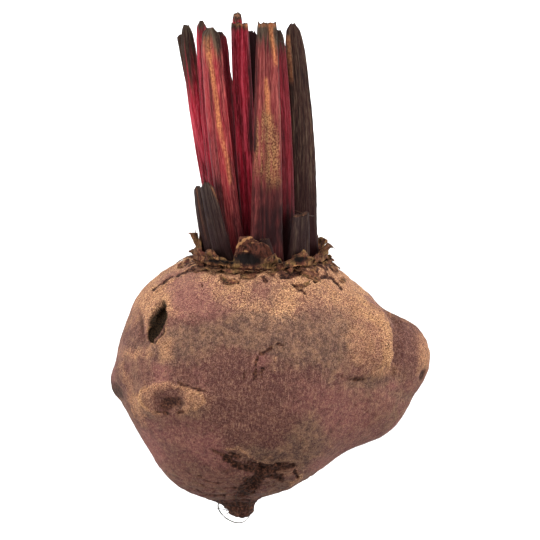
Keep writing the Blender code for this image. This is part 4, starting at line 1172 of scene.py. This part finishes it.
# The soft lights round the beetroot: where each stands, in metres, and its power in watts.
Window = namedtuple("Window", "name place power")
WINDOWS = [
    Window("window_left", (-0.75, 0.06, 0.42), 12.5),
    Window("window_right", (0.75, 0.14, 0.42), 13.5),
    Window("window_top", (0.0, 0.85, 0.50), 10.0),
]


def build_floor():
    bm = bmesh.new()
    bmesh.ops.create_grid(bm, x_segments=1, y_segments=1, size=FLOOR_SIZE)
    floor = add_object("floor", mesh_of(bm, "floor"))
    paper = Finish("floor_paper", roughness=0.9)
    floor.data.materials.append(paper.finish(srgb(*FLOOR_COLOUR)))


def add_lamp(name, kind, power):
    light = bpy.data.lights.new(name, kind)
    light.energy = power
    return add_object(name, light)


def build_window(window):
    """A soft square light that points at the beetroot."""
    lamp = add_lamp(window.name, "AREA", window.power)
    lamp.data.size = WINDOW_SIZE
    lamp.location = window.place
    lamp.rotation_euler = (LIT_PLACE - Vector(window.place)).to_track_quat("-Z", "Y").to_euler()


def build_sky_light():
    """A wide soft light from straight above, which also keeps the floor evenly pale."""
    lamp = add_lamp("sky", "SUN", SKY_POWER)
    lamp.data.angle = SKY_SPREAD
    lamp.rotation_euler = (SKY_LEAN, 0, 0)


def build_studio():
    build_floor()
    for window in WINDOWS:
        build_window(window)
    build_sky_light()
    world = bpy.data.worlds.new("studio")
    world.use_nodes = True
    backdrop = world.node_tree.nodes["Background"]
    backdrop.inputs["Color"].default_value = (1, 1, 1, 1)
    rays = world.node_tree.nodes.new("ShaderNodeLightPath")
    strength = world.node_tree.nodes.new("ShaderNodeMapRange")
    strength.inputs["To Min"].default_value = BACKDROP_LIGHT
    strength.inputs["To Max"].default_value = BACKDROP_SEEN
    world.node_tree.links.new(rays.outputs["Is Camera Ray"], strength.inputs["Value"])
    world.node_tree.links.new(strength.outputs["Result"], backdrop.inputs["Strength"])
    bpy.context.scene.world = world
    bpy.context.scene.view_settings.view_transform = "Standard"


def build_camera():
    lens = bpy.data.cameras.new("camera")
    lens.sensor_width = SENSOR
    lens.lens = SENSOR * CAMERA_DISTANCE / (PHOTO_SIZE * PIXEL)
    camera = add_object("camera", lens)
    turn = Matrix((PHOTO_RIGHT, PHOTO_UP, TO_CAMERA)).transposed().to_4x4()
    camera.matrix_world = Matrix.Translation((AIM + TO_CAMERA * CAMERA_DISTANCE) * MM) @ turn
    bpy.context.scene.camera = camera


build_camera()
build_studio()
root_surface = build_root_skin()
build_leaf_bases(root_surface)
build_fibres(seen_form())
for number, stalk in enumerate(STALKS):
    build_stalk(stalk, number)
